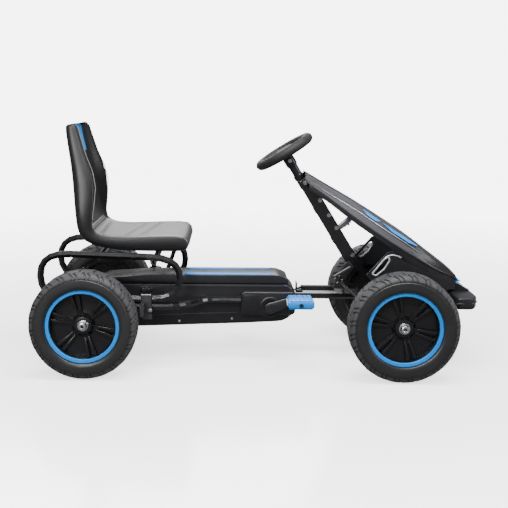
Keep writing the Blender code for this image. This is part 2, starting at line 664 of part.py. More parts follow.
def chain_case():
    outline = case_outline()
    for side in (1, -1):
        wall_in, wall_out = side * GAP, side * CASE_HALF_WIDTH
        half = slab(side_name("chain_case", side), outline, wall_in, wall_out, PLASTIC)
        hollow = slab("hollow", inset(outline, WALL), -side * 0.01, side * (CASE_HALF_WIDTH - WALL), PLASTIC)
        passage = span("passage", (REAR_X - 0.2, -BEAM_WIDTH / 2 - 0.001, BEAM_BOTTOM - 0.001),
                       (FRONT_X, BEAM_WIDTH / 2 + 0.001, BEAM_TOP + STIFFENER_HEIGHT + 0.001), PLASTIC)
        cut(half, hollow, passage)
        for x, z, radius in ((0, AXLE_Z, AXLE_RADIUS), (CRANK_FROM_REAR, CRANK_Z, CRANK_RADIUS),
                             (BRAKE_X, BRAKE_Z, BRAKE_RADIUS)):
            cut(half, rod("hole", radius + 0.0015, 0.02, PLASTIC, at(x, side * CASE_HALF_WIDTH, z), "Y", 16))
        cover_from, cover_to = RAIL_BEND_TO + 0.0945, CRANK_FROM_REAR + 0.066
        low, high = AXLE_Z - 0.009, AXLE_Z + 0.053
        face = [(cover_from, low + 0.014), (cover_from + 0.014, low), (cover_to - 0.012, low + 0.002),
                (cover_to, low + 0.018), (cover_to - 0.004, high - 0.008), (cover_to - 0.012, high),
                (cover_from + 0.004, high), (cover_from, high - 0.004)]
        inner_y = side * (CASE_HALF_WIDTH + GAP)
        cover = slab(side_name("crank_cover", side), face, inner_y, inner_y + side * COVER_DEPTH, PLASTIC)
        pocket = slab("pocket", inset(face, WALL), inner_y - side * 0.005,
                      inner_y + side * (COVER_DEPTH - WALL), PLASTIC)
        cut(cover, pocket, rod("hole", CRANK_RADIUS + 0.003, 0.06, PLASTIC,
                               at(CRANK_FROM_REAR, inner_y, CRANK_Z), "Y", 16))
    seam = AXLE_Z + CASE_SEAM + GAP
    nose = CRANK_FROM_REAR + 0.070
    top = [(0.005, seam), (nose - 0.020, seam), (nose - 0.024, seam + 0.012),
           (nose - 0.050, seam + LID_HEIGHT), (0.150, seam + LID_HEIGHT - 0.002), (0.030, seam + 0.012)]
    lid = slab("chain_case_lid", top, -CASE_HALF_WIDTH + 0.002, CASE_HALF_WIDTH - 0.002, PLASTIC)
    under = inset(top, WALL)
    under[:2] = [(x, seam - 0.004) for x, z in under[:2]]      # open below
    cut(lid, slab("under", under, -CASE_HALF_WIDTH + 0.002 + WALL, CASE_HALF_WIDTH - 0.002 - WALL, PLASTIC))


# ---------------------------------------------------------------- seat

def seat_narrow(z):
    """The backrest narrows towards its top."""
    share = min(max((z - LIFT - 0.40) / (0.627 - 0.40), 0), 1)
    return 1 - (1 - SEAT_TOP_SHARE) * share


def seat():
    back = [(-0.046, 0.627), (-0.060, 0.624), (-0.057, 0.590), (-0.045, 0.520), (-0.037, 0.450),
            (-0.032, 0.395), (-0.028, 0.354), (-0.012, 0.330), (0.019, 0.315), (0.079, 0.3045)]
    pan = [(0.151, 0.3025), (0.247, 0.3025), (0.256, 0.312), (0.258, 0.335), (0.248, 0.344),
           (0.222, 0.345), (0.080, 0.340), (0.044, 0.343), (0.023, 0.351), (0.009, 0.363)]
    bolster = [(0.016, 0.416), (0.020, 0.465), (0.016, 0.493), (0.001, 0.528), (-0.012, 0.567),
               (-0.022, 0.598), (-0.030, 0.615)]
    shell = slab("seat_shell", drawn(back + pan + bolster), -SEAT_HALF_WIDTH, SEAT_HALF_WIDTH,
                 SEAT_PLASTIC, seat_narrow)
    inner = SEAT_HALF_WIDTH - FLANK
    lining = [(-0.048, 0.700), (-0.046, 0.600), (-0.034, 0.540), (-0.022, 0.480), (-0.014, 0.430),
              (-0.009, 0.385), (0.002, 0.350), (0.030, 0.332), (0.080, 0.328), (0.300, 0.334), (0.300, 0.700)]
    cut(shell, slab("lining", drawn(lining), -inner, inner, SEAT_PLASTIC, seat_narrow))


def seat_frame():
    hoops = []
    for side in (1, -1):
        corners = drawn([(HOOP_REAR, 0.3005), (HOOP_FRONT, 0.2885)])
        corners += [(HOOP_FRONT, HOOP_Z), (HOOP_REAR, HOOP_Z)]
        path = rounded([at(x, side * RAIL_Y, z) for x, z in corners], 0.075, 5, closed=True)
        hoops.append(pipe("seat_frame", path, HOOP_RADIUS, PAINT, closed=True, detail=1))
    ties = [rod("tie", 0.008, 2 * RAIL_Y, PAINT, at(x, 0, 0.2900 + LIFT), "Y", 12) for x in (0.030, 0.175)]
    brace = pipe("brace", [at(0.214, RAIL_Y, 0.287 + LIFT), at(0.178, RAIL_Y, HOOP_Z + 0.003)], 0.007, PAINT)
    frame = as_mesh(hoops[0])
    frame.name = "seat_frame"
    join(frame, ties[0], ties[1], hoops[1], brace)


def seat_clamps():
    for side in (1, -1):
        low, high = RAIL_Z - RAIL_RADIUS - 0.0055, HOOP_Z + HOOP_RADIUS + 0.005
        y = side * RAIL_Y
        clamp = span(side_name("seat_clamp", side), at(CLAMP_X - 0.014, y - 0.016, low),
                     at(CLAMP_X + 0.014, y + 0.016, high), DARK_STEEL, edge=0.002)
        for z, radius in ((RAIL_Z, RAIL_RADIUS), (HOOP_Z, HOOP_RADIUS)):
            cut(clamp, rod("hole", radius + 0.0004, 0.05, PAINT, at(CLAMP_X, y, z), "X", 20))
        lobes = [circle((0.0095, 0.0125)[k % 2], 12)[k] for k in range(12)]
        plate(side_name("clamp_knob", side), lobes, 0.018, PLASTIC, at(CLAMP_X, y, high + GAP + 0.009))


# ---------------------------------------------------------------- brake

def brake():
    pads_in = REAR_TRACK / 2 - TYRE_WIDTH / 2 - 0.0055
    axis = at(BRAKE_X, 0, BRAKE_Z)
    turn = pivot("brake_axis", axis)
    shaft = rod("brake_shaft", BRAKE_RADIUS, 2 * pads_in - 0.004, DARK_STEEL, (0, 0, 0), "Y", 14, turn)
    for side in (1, -1):
        inner, outer = side * (pads_in - 0.011), side * (pads_in - 0.003)
        arm = across("arm", -0.006, 0.024, inner, outer, -0.007, 0.007, DARK_STEEL, turn)
        upright = across("upright", -0.0165, 0.006, inner + side * 0.001, outer - side * 0.001,
                         -0.005, 0.032, DARK_STEEL, turn)
        pad = across("pad", -0.017, 0.009, inner + side * 0.002, side * (pads_in + 0.036),
                     0.008, 0.034, DARK_STEEL, turn)
        join(shaft, arm, upright, pad)
    handle = pipe("brake_lever", [Vector((0, LEVER_Y, 0)), Vector((-0.006, LEVER_Y, 0.045)),
                                  Vector((-0.012, LEVER_Y, 0.092))], 0.0035, STEEL, turn, detail=1)
    eye = rod("eye", BRAKE_RADIUS + 0.005, 0.012, STEEL, (0, LEVER_Y, 0), "Y", 16, turn)
    ball = rod("ball", 0.009, 0.018, PLASTIC, (-0.012, LEVER_Y, 0.092), "Y", 12, turn)
    bore = rod("bore", BRAKE_RADIUS + GAP, 0.03, STEEL, (0, LEVER_Y, 0), "Y", 14, turn)
    cut(join(handle, eye, ball), bore)


# ---------------------------------------------------------------- bodywork

def fairing_sections():
    """Distance ahead of the rear axle, crown, crease half width and height, foot half width and height."""
    rows = [(0.568, 0.4935, 0.034, 0.4900, 0.042, 0.4655), (0.620, 0.4630, 0.046, 0.4585, 0.056, 0.4320),
            (0.690, 0.4240, 0.064, 0.4180, 0.077, 0.3790), (0.760, 0.3790, 0.080, 0.3710, 0.095, 0.3320),
            (0.830, 0.3340, 0.090, 0.3260, 0.106, 0.2900), (0.885, 0.2900, 0.088, 0.2820, 0.104, 0.2550),
            (0.930, 0.2580, 0.075, 0.2510, 0.088, 0.2360), (0.957, 0.2300, 0.060, 0.2250, 0.070, 0.2180)]
    return [(x + STRETCH, crown + LIFT, crease_y, crease_z + LIFT, foot_y, foot_z + LIFT)
            for x, crown, crease_y, crease_z, foot_y, foot_z in rows]


def loft(bm, rings, closed):
    """Quads between rows of points that have equal counts."""
    rows = [[bm.verts.new(point) for point in ring] for ring in rings]
    last = len(rows[0]) - (0 if closed else 1)
    for one, two in zip(rows, rows[1:]):
        for k in range(last):
            n = (k + 1) % len(one)
            bm.faces.new((one[k], one[n], two[n], two[k]))
    return rows


def fairing():
    def build(bm):
        rings = []
        for x, crown, crease_y, crease_z, foot_y, foot_z in fairing_sections():
            ring = [(-foot_y, foot_z), (-crease_y, crease_z), (-crease_y * 0.5, (crown * 3 + crease_z) / 4),
                    (0, crown), (crease_y * 0.5, (crown * 3 + crease_z) / 4), (crease_y, crease_z),
                    (foot_y, foot_z)]
            rings.append([at(x, y, z) for y, z in ring])
        rows = loft(bm, rings, False)
        bm.faces.new(rows[-1])
    item = add("fairing", mesh_of("fairing", build), PLASTIC)
    wall = item.modifiers.new("wall", "SOLIDIFY")
    wall.thickness = WALL
    wall.offset = -1
    wall.use_even_offset = True


def fairing_liner():
    def build(bm):
        rings = []
        for x, _, _, _, foot_y, foot_z in fairing_sections()[1:6]:
            side, top = foot_y - 0.004, foot_z - 0.0015
            rings.append([at(x, y, z) for y, z in ((-side, top), (side, top), (side, top - LINER_DEPTH),
                                                   (-side, top - LINER_DEPTH))])
        rows = loft(bm, rings, True)
        bm.faces.new(rows[0])
        bm.faces.new(rows[-1])
    add("fairing_liner", mesh_of("fairing_liner", build), PLASTIC)


def fairing_brace():
    """A plate from the post's front face up to the liner."""
    foot = steer_point(POST_BACK + POST_DEPTH + 0.001, 0, -0.262)
    x = foot.x - REAR_X
    slab("fairing_brace", [(x, foot.z), (x + 0.012, foot.z - 0.019), (x + 0.037, foot.z - 0.008),
                           (x + 0.019, foot.z + 0.022)], -0.010, 0.010, PAINT)


def side_pods():
    outline = [(0.708, 0.246), (0.716, 0.236), (0.760, 0.226), (0.905, 0.205), (0.925, 0.215),
               (0.905, 0.240), (0.860, 0.255), (0.800, 0.283), (0.775, 0.308), (0.762, 0.306)]
    opening = [(0.722, 0.250), (0.732, 0.245), (0.752, 0.262), (0.766, 0.285), (0.762, 0.294), (0.752, 0.288)]
    outline, opening = drawn(outline, STRETCH), drawn(opening, STRETCH)
    x, z = REAR_X + 0.848 + STRETCH, 0.216 + LIFT
    for side in (1, -1):
        low, high = side * POD_Y - POD_THICKNESS / 2, side * POD_Y + POD_THICKNESS / 2
        pod = slab(side_name("side_pod", side), outline, low, high, PLASTIC)
        cut(pod, slab("opening", opening, low - 0.005, high + 0.005, PLASTIC))
        strut = across("strut", x, 0.012, side * 0.008, side * (POD_Y - 0.003), z, z + 0.012, PLASTIC)
        leg = across("leg", x, 0.012, side * 0.008, side * 0.016, BEAM_TOP + GAP, z + 0.006, PLASTIC)
        join(pod, strut, leg)


def nose():
    front = WHEELBASE + NOSE_REACH
    floor = BUMPER_TOP + GAP
    wedge = [(front - 0.075, floor), (front - 0.004, floor), (front - 0.035, floor + 0.0187),
             (front - 0.052, floor + 0.0222), (front - 0.068, floor + 0.0377)]
    slab("nose_panel", wedge, -0.060, 0.060, PLASTIC)
    bumper = span("front_bumper", at(front - BUMPER_DEPTH, -BUMPER_HALF_WIDTH, BUMPER_TOP - BUMPER_HEIGHT),
                  at(front, BUMPER_HALF_WIDTH, BUMPER_TOP), PLASTIC)
    bevel = bumper.modifiers.new("edges", "BEVEL")
    bevel.width = 0.007
    bevel.segments = 2


beam()
rear_frame()
axle_bearings()
front_axle()
rear_wheels()
front_wheels()
steering_parts()
post_and_bushes()
knuckles()
drive_chain()
crank_parts()
chain_case()
seat()
seat_frame()
seat_clamps()
brake()
fairing()
fairing_liner()
fairing_brace()
side_pods()
nose()
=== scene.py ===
# %% [markdown]
# # A child's pedal go kart
#
# The frame, the joints and every true size come from the imported model. This lesson adds what the
# eye sees: tyres with moulded tread, blue wheel rings, a bucket seat with a painted highlight on its
# bolsters, a foam steering wheel, and paint, plastic, rubber and plated steel made from shader nodes.

import bmesh
import bpy
from math import atan2, cos, pi, radians, sin, sqrt
from mathutils import Matrix, Vector


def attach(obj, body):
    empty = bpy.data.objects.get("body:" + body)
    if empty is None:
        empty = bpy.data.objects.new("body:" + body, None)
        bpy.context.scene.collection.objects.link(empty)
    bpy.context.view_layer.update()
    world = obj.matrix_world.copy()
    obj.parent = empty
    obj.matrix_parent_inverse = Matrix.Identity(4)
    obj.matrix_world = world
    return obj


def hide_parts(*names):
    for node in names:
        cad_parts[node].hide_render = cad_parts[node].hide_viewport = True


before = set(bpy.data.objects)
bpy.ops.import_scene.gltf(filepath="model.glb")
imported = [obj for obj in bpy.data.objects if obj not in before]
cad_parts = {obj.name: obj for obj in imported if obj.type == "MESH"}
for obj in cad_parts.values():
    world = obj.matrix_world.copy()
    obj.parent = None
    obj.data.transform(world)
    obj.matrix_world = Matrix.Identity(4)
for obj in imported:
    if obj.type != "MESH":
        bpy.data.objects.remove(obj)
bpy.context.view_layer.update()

# %% [markdown]
# ## The camera
#
# A long lens from a low three-quarter height shows the right side almost square on, with just a
# little of the top. The camera stands on the kart's right, so the lens looks along +Y.

# %% Camera
CAMERA_SPOT = (-0.0725, -2.4522, 0.6883)
LOOKS_DOWN, TURNED = 0.1652, 0.0367      # radians
SENSOR, LENS = 36, 65.46                 # millimetres
SHIFT = (0.1178, -0.003)                # shares of the sensor's width
camera = bpy.data.objects.new("camera", bpy.data.cameras.new("camera"))
bpy.context.scene.collection.objects.link(camera)
bpy.context.scene.camera = camera
camera.location = CAMERA_SPOT
camera.rotation_euler = (pi / 2 - LOOKS_DOWN, 0, TURNED)
camera.data.sensor_width, camera.data.lens = SENSOR, LENS
camera.data.shift_x, camera.data.shift_y = SHIFT
print("camera at", tuple(camera.location))

# %% [markdown]
# ## Shader maths as plain expressions
#
# A material graph is easier to read as a formula. The class below wraps one socket, and adding,
# multiplying or subtracting two wrapped sockets makes the Math node that does it.

# %% A socket that does maths
class Socket:
    def __init__(self, finish, out):
        self.finish, self.out = finish, out

    def math(self, operation, other=None, clamp=False):
        values = {0: self} if other is None else {0: self, 1: other}
        return self.finish.node("ShaderNodeMath", values, operation=operation, use_clamp=clamp)

    def __add__(self, other):
        return self.math("ADD", other)

    def __mul__(self, other):
        return self.math("MULTIPLY", other)

    def __sub__(self, other):
        return self.math("SUBTRACT", other)

    def __truediv__(self, other):
        return self.math("DIVIDE", other)

    def __pow__(self, other):
        return self.math("POWER", other)

    def __rsub__(self, other):
        return (self * -1) + other

    __radd__ = __add__
    __rmul__ = __mul__

    def above(self, edge, soft):
        """0 below edge, 1 above it, easing over the width soft."""
        return ((self - (edge - soft / 2)) / soft).math("MAXIMUM", 0).math("MINIMUM", 1)

    def below(self, edge, soft):
        return 1 - self.above(edge, soft)

    def between(self, low, high, soft):
        return self.above(low, soft) * self.below(high, soft)


# %% A finish: one material and its helpers
class Finish:
    def __init__(self, name, colour, roughness=0.5, metallic=0.0, **shader):
        self.material = bpy.data.materials.new(name)
        self.material.use_nodes = True
        self.tree = self.material.node_tree
        self.shader = self.tree.nodes["Principled BSDF"]
        self.set("Base Color", (*colour, 1) if isinstance(colour, tuple) else colour)
        self.set("Roughness", roughness)
        self.set("Metallic", metallic)
        for label, value in shader.items():
            self.set(label.replace("_", " "), value)

    def node(self, kind, values=None, output=0, **settings):
        made = self.tree.nodes.new(kind)
        for key, value in settings.items():
            setattr(made, key, value)
        for key, value in (values or {}).items():
            if isinstance(value, Socket):
                self.tree.links.new(value.out, made.inputs[key])
            else:
                made.inputs[key].default_value = value
        return Socket(self, made.outputs[output])

    def set(self, label, value):
        if isinstance(value, Socket):
            self.tree.links.new(value.out, self.shader.inputs[label])
        else:
            self.shader.inputs[label].default_value = value

    def place(self):
        """The X, Y and Z of the point, in metres of the kart's frame."""
        return self.node("ShaderNodeTexCoord", output=3)

    def axes(self, centre=(0, 0, 0)):
        """X, Y and Z about a centre."""
        moved = self.node("ShaderNodeMapping", {0: self.place(), 1: centre}, vector_type="TEXTURE")
        split = self.tree.nodes.new("ShaderNodeSeparateXYZ")
        self.tree.links.new(moved.out, split.inputs[0])
        return [Socket(self, out) for out in split.outputs]

    def noise(self, scale, detail=2):
        values = {"Vector": self.place(), "Scale": scale, "Detail": detail}
        return self.node("ShaderNodeTexNoise", values)

    def mix(self, share, one, two):
        """One colour where share is 0, the other where it is 1."""
        one = one if isinstance(one, Socket) else (*one, 1)
        two = two if isinstance(two, Socket) else (*two, 1)
        return self.node("ShaderNodeMix", {0: share, 6: one, 7: two}, output=2, data_type="RGBA")

    def bump(self, height, depth):
        values = {"Height": height, "Distance": depth, "Strength": 1.0}
        self.set("Normal", self.node("ShaderNodeBump", values))


print("maths on sockets ready")

# %% [markdown]
# ## Finishes
#
# Nothing on a kart is one flat colour. Moulded plastic has a fine grain and uneven gloss, powder
# coat has a slight orange peel, foam tyres are chalky where the mould released them, and zinc is
# softly cloudy. Each finish below mixes noise into roughness, colour and a very shallow bump.

# %% Plastics and paint
def moulded(name, colour, roughness, grain=0.00008, size=900):
    """A moulded plastic: eroded grain, slightly uneven gloss, pale where it has been rubbed."""
    made = Finish(name, colour, roughness, Specular_IOR_Level=0.35)
    cloud = made.noise(9, 3)
    speck = made.noise(size, 2)
    rubbed = made.noise(38, 4).above(0.66, 0.12)
    lighter = tuple(min(c * 1.35 + 0.003, 1) for c in colour)
    made.set("Base Color", made.mix(rubbed * 0.5 + cloud * 0.3, colour, lighter))
    made.set("Roughness", (cloud - 0.5) * 0.16 + roughness + speck * 0.05)
    made.bump(speck, grain)
    return made


SHELL = moulded("case_plastic", (0.011, 0.011, 0.013), 0.27)
RIM_PLASTIC = moulded("rim_plastic", (0.008, 0.008, 0.009), 0.24)
GRIP = moulded("grip_foam", (0.012, 0.012, 0.013), 0.6, 0.0003, 500)
BLUE = moulded("blue_plastic", (0.0, 0.205, 0.64), 0.34, 0.00005)
KNOB = moulded("knob_plastic", (0.006, 0.006, 0.007), 0.28, 0.00004)
# A pale metallic finish for thin lines that are painted highlights on dark edges.
HIGHLIGHT_LINE = Finish("painted_highlight_line", (0.42, 0.43, 0.46), 0.34, 0.6)
HIGHLIGHT_LINE.set("Roughness", HIGHLIGHT_LINE.noise(60, 3) * 0.2 + 0.26)
PAINT = Finish("black_powder_coat", (0.006, 0.006, 0.0075), 0.25, Coat_Weight=0.3, Coat_Roughness=0.12)
peel = PAINT.noise(420, 2)
PAINT.set("Roughness", PAINT.noise(14, 3) * 0.1 + 0.13)
PAINT.bump(peel, 0.00006)
print("plastics and paint ready")

# %% Metals
def metal(name, colour, roughness):
    """A metal with cloudy colour and gloss."""
    made = Finish(name, colour, roughness, 1.0)
    cloud, fine = made.noise(30, 3), made.noise(260, 3)
    darker = tuple(c * 0.7 for c in colour)
    made.set("Base Color", made.mix(cloud * 0.8, colour, darker))
    made.set("Roughness", roughness + (cloud - 0.5) * 0.2 + (fine - 0.5) * 0.15)
    made.bump(fine, 0.00004)
    return made


ZINC = metal("zinc_plate", (0.62, 0.63, 0.65), 0.26)
DARK_METAL = metal("blackened_steel", (0.11, 0.11, 0.12), 0.38)
SATIN_STEEL = metal("satin_steel", (0.3, 0.3, 0.32), 0.34)
CHAIN_METAL = metal("oiled_chain", (0.16, 0.15, 0.14), 0.33)
print("metals ready")

# %% [markdown]
# ## Tyre rubber
#
# The tyre is one foam ring: a chalky tread, and a smoother black band on the side wall. The
# distance from the hub tells the shader which zone a point is in, so each tyre gets its own
# material, centred on its own hub.

# %% Tyre finish
REAR, FRONT, AXLE_Z = -0.429, 0.359, 0.135
TREAD_EDGE, BEAD_EDGE = 0.123, 0.1005      # distances from the hub
HUBS = {"rear_left": (REAR, 0.225), "rear_right": (REAR, -0.225),
        "front_left": (FRONT, 0.229), "front_right": (FRONT, -0.229)}


def tyre_finish(stem):
    x_hub, y_hub = HUBS[stem]
    made = Finish(f"tyre_rubber_{stem}", (0.03, 0.03, 0.032), 0.7)
    x, y, z = made.axes((x_hub, y_hub, AXLE_Z))
    reach = (x * x + z * z) ** 0.5
    tread = reach.above(TREAD_EDGE, 0.004)
    bead = reach.below(BEAD_EDGE, 0.002)
    cloud, dust = made.noise(18, 4), made.noise(700, 2)
    wall = made.mix(cloud * 0.8, (0.008, 0.008, 0.009), (0.015, 0.015, 0.016))
    chalk = made.mix(cloud + dust * 0.3 - 0.1, (0.02, 0.02, 0.022), (0.05, 0.05, 0.054))
    made.set("Base Color", made.mix(tread, wall, chalk))
    made.set("Roughness", tread * 0.22 + 0.42 + (cloud - 0.5) * 0.14 - bead * 0.08)
    made.bump(dust * 0.7 + cloud * 0.3, 0.00018)
    return made


TYRE = {stem: tyre_finish(stem) for stem in HUBS}
print("tyre finishes", len(TYRE))

# %% [markdown]
# ## From a bmesh to a finished piece
#
# Every new piece is made where it belongs, in the kart's own frame, so its object stays at the
# origin. The helper below joins doubled points, turns the faces outwards, shades it smooth except
# at real edges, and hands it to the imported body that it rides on.

# %% Piece helpers
SAME_POINT = 0.00001      # points closer than this are joined
SIDES = ((1, "left"), (-1, "right"))


def weld(bm):
    bmesh.ops.remove_doubles(bm, verts=bm.verts, dist=SAME_POINT)


def outward(bm):
    bmesh.ops.recalc_face_normals(bm, faces=bm.faces)


def mirror(bm):
    """Adds the other half in Y."""
    bmesh.ops.mirror(bm, geom=bm.verts[:] + bm.edges[:] + bm.faces[:], axis="Y", merge_dist=SAME_POINT)


def bevel(bm, edges, offset, segments=2):
    return bmesh.ops.bevel(bm, geom=edges, offset=offset, segments=segments, profile=0.5,
                           affect="EDGES", material=-1)


def piece(name, bm, body, finishes, replaced=(), crease=35, merge=True):
    """Makes the object, hangs it on its body's empty, and hides the imported parts that it replaces."""
    if merge:
        weld(bm)
        outward(bm)
    mesh = bpy.data.meshes.new(name)
    bm.to_mesh(mesh)
    bm.free()
    mesh.shade_smooth()
    mesh.set_sharp_from_angle(angle=radians(crease))
    for finish in finishes if isinstance(finishes, list) else [finishes]:
        mesh.materials.append(finish.material)
    made = bpy.data.objects.new(name, mesh)
    bpy.context.scene.collection.objects.link(made)
    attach(made, body)
    if replaced:
        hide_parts(*replaced)
    return made


def soften(made, width, segments=2):
    """Rounds the edges of a piece that are sharper than 30 degrees."""
    edge = made.modifiers.new("soft_edges", "BEVEL")
    edge.width, edge.segments = width, segments
    edge.limit_method, edge.angle_limit = "ANGLE", radians(30)
    edge.use_clamp_overlap = True


def line(bm, points, closed=False):
    """A few vertices joined by edges, ready to be spun or extruded."""
    verts = [bm.verts.new(point) for point in points]
    pairs = list(zip(verts, verts[1:])) + ([(verts[-1], verts[0])] if closed else [])
    return verts + [bm.edges.new(pair) for pair in pairs]


def spun(bm, profile, steps):
    """A (radius, distance along Y) profile turned once round the Y axis."""
    start = line(bm, [(r, a, 0) for r, a in profile], True)
    bmesh.ops.spin(bm, geom=start, cent=(0, 0, 0), axis=(0, 1, 0), angle=2 * pi, steps=steps, use_merge=True)
    return bm


def roll(name, runs, radius, body, finish, closed=True):
    """Round wire along one or more runs of points."""
    made = bpy.data.curves.new(name, "CURVE")
    made.dimensions, made.bevel_depth, made.bevel_resolution = "3D", radius, 3
    made.use_fill_caps = not closed
    for points in runs:
        spline = made.splines.new("POLY")
        spline.points.add(len(points) - 1)
        for spot, point in zip(spline.points, points):
            spot.co = (*point, 1)
        spline.use_cyclic_u = closed
    obj = bpy.data.objects.new(name, made)
    made.materials.append(finish.material)
    bpy.context.scene.collection.objects.link(obj)
    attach(obj, body)
    return obj


def cube(bm, size, place, turn=None):
    """A box of a size at a place, turned first by a matrix."""
    matrix = Matrix.Translation(place) @ (turn or Matrix.Identity(4)) @ Matrix.Diagonal((*size, 1))
    return bmesh.ops.create_cube(bm, size=1, matrix=matrix)["verts"]


def disc(bm, radius, depth, place, turn=None, sides=24, top=None):
    """A short cylinder or cone along local Z."""
    matrix = Matrix.Translation(place) @ (turn or Matrix.Identity(4))
    return bmesh.ops.create_cone(bm, cap_ends=True, segments=sides, radius1=radius,
                                 radius2=radius if top is None else top, depth=depth, matrix=matrix)["verts"]


ALONG_Y = Matrix.Rotation(-pi / 2, 4, "X")       # local Z to +Y
print("piece helpers ready")

# %% [markdown]
# ## The tyres
#
# A real foam tyre comes out of a mould with slanted cuts on its shoulders, in pairs, and a zig-zag
# groove on each side of the crown. It could be a bump map, but the outline would stay round. Here a
# profile is spun in 144 steps, the shoulder rows are skewed, and chosen faces are inset and sunk.

# %% One tyre as a mesh
TYRE_STEPS = 144
CUT_SLOPE, CUT_DEPTH = 0.0007, 0.0034


def tyre_mesh():
    half = [(0.0925, 0.0349), (0.0932, 0.0388), (0.0962, 0.0409), (0.103, 0.0415), (0.112, 0.0415),
            (0.117, 0.0412), (0.1182, 0.0398), (0.12, 0.04), (0.125, 0.0388), (0.1295, 0.036),
            (0.1325, 0.0315), (0.1342, 0.0255), (0.1349, 0.021), (0.135, 0.0172), (0.135, 0.006)]
    bm = bmesh.new()
    spun(bm, half + [(r, -a) for r, a in reversed(half)], TYRE_STEPS)
    weld(bm)
    outward(bm)
    step = 2 * pi / TYRE_STEPS
    cuts = []
    for face in bm.faces:
        centre = face.calc_center_median()
        reach, across = sqrt(centre.x ** 2 + centre.z ** 2), abs(centre.y)
        count = int(round(atan2(centre.z, centre.x) / step - 0.5)) % 6
        shoulder = reach > 0.1195 and across > 0.0232 and count in (1, 3)
        crown = reach > 0.134 and across < 0.0172 and count == 5
        ditch = reach > 0.134 and 0.0172 < across < 0.021
        if shoulder or crown or ditch:
            cuts.append(face)
    for vert in bm.verts:
        reach, across = sqrt(vert.co.x ** 2 + vert.co.z ** 2), abs(vert.co.y)
        count = int(round(atan2(vert.co.z, vert.co.x) / step))
        lean = 0.0
        if reach > 0.1185:
            lean = (0.0415 - across) * (5.2 if across > 0.022 else 2.0)
        if 0.017 < across < 0.0215 and reach > 0.134:
            vert.co.y *= 1 + (0.14 if count % 6 < 3 else -0.14)
        vert.co = Matrix.Rotation(-lean, 3, "Y") @ vert.co
    bmesh.ops.inset_region(bm, faces=cuts, thickness=CUT_SLOPE, depth=-CUT_DEPTH, use_even_offset=True)
    return bm


def at_hub(bm, stem):
    """Moves a wheel piece to its hub, outboard side outwards."""
    x_hub, y_hub = HUBS[stem]
    if y_hub < 0:
        bmesh.ops.scale(bm, vec=(1, -1, 1), verts=bm.verts)
    bmesh.ops.translate(bm, vec=(x_hub, y_hub, AXLE_Z), verts=bm.verts)
    return bm


BODIES = {"rear_left": "rear_left_wheel", "rear_right": "rear_axle_set",
          "front_left": "front_left_wheel", "front_right": "front_right_wheel"}
for stem in HUBS:
    tyre = piece(f"tyre_{stem}", at_hub(tyre_mesh(), stem), BODIES[stem], TYRE[stem],
                 (f"{stem}_tyre",), crease=40)
print("tyre faces", len(tyre.data.polygons))

# %% [markdown]
# ## Rings, rims and hubs
#
# A blue ring snaps over the rim's edge. The rim is one dark moulding: a barrel, a closed web, six
# pairs of ribs that widen outwards, and a ribbed hub. Turned parts are spun; the ribs start as
# boxes whose ends are widened, and are copied round with a rotation.

# %% Wheel parts
def ring_mesh():
    return spun(bmesh.new(), [(0.0831, 0.027), (0.0831, 0.0333), (0.0838, 0.034), (0.0915, 0.034),
                              (0.0922, 0.0333), (0.0922, 0.027)], 96)


def rim_mesh(bore):
    bm = spun(bmesh.new(), [
        (0.092, 0.0268), (0.0829, 0.0268), (0.0826, 0.008), (0.08, 0.0045), (0.042, 0.003),
        (0.03, 0.0052), (0.0262, 0.009), (0.0245, 0.015), (0.0215, 0.019), (0.018, 0.02),
        (bore, 0.02), (bore, -0.03), (0.024, -0.03), (0.025, -0.008), (0.0815, -0.006),
        (0.0826, -0.0339), (0.092, -0.0339)], 96)
    for spoke in range(6):
        spin = Matrix.Rotation(pi / 3 * spoke + 0.26, 4, "Y")
        for side in (1, -1):
            middle = side * 0.0062
            bar = cube(bm, (0.05, 0.0105, 0.007), (0.0565, 0.008, middle))
            for vert in bar:
                outer = vert.co.x > 0.0565
                vert.co.z = middle + (vert.co.z - middle) * (1.25 if outer else 0.62)
                vert.co.z += side * (0.0028 if outer else -0.0016)
                if vert.co.y > 0.008:
                    vert.co.y += 0.005 if outer else -0.001
            edges = list({edge for vert in bar for edge in vert.link_edges})
            made = bevel(bm, edges, 0.0011)["verts"]
            bmesh.ops.transform(bm, matrix=spin, verts=made)
        step = cube(bm, (0.016, 0.006, 0.015), (0.033, 0.006, 0))
        bmesh.ops.transform(bm, matrix=spin, verts=step)
    for rib in range(12):
        spin = Matrix.Rotation(pi / 6 * rib, 4, "Y")
        bmesh.ops.transform(bm, matrix=spin, verts=cube(bm, (0.005, 0.011, 0.0024), (0.024, 0.011, 0)))
    return bm


def nut_mesh():
    bm = spun(bmesh.new(), [
        (0.0084, 0.0203), (0.014, 0.0203), (0.0143, 0.0212), (0.0134, 0.0222), (0.0116, 0.0226),
        (0.0113, 0.0292), (0.01, 0.0332), (0.0074, 0.0346), (0.0048, 0.0345), (0.0038, 0.0337),
        (0.0038, 0.03305), (0.0084, 0.03305)], 32)
    dark = disc(bm, 0.0037, 0.0006, (0, 0.0334, 0), ALONG_Y)
    for face in {face for vert in dark for face in vert.link_faces}:
        face.material_index = 1
    return bm


NUT_BODIES = {"rear_left": "rear_axle_set", "rear_right": "rear_axle_set",
              "front_left": "left_knuckle", "front_right": "right_knuckle"}
for stem in HUBS:
    piece(f"ring_{stem}", at_hub(ring_mesh(), stem), BODIES[stem], BLUE, (f"{stem}_ring",))
    bore = 0.0083 if stem.startswith("rear") else 0.0063
    piece(f"rim_{stem}", at_hub(rim_mesh(bore), stem), BODIES[stem], RIM_PLASTIC,
          (f"{stem}_rim",), crease=30)
    piece(f"nut_{stem}", at_hub(nut_mesh(), stem), NUT_BODIES[stem], [ZINC, KNOB],
          (f"{stem}_nut",))
print("four wheels dressed")

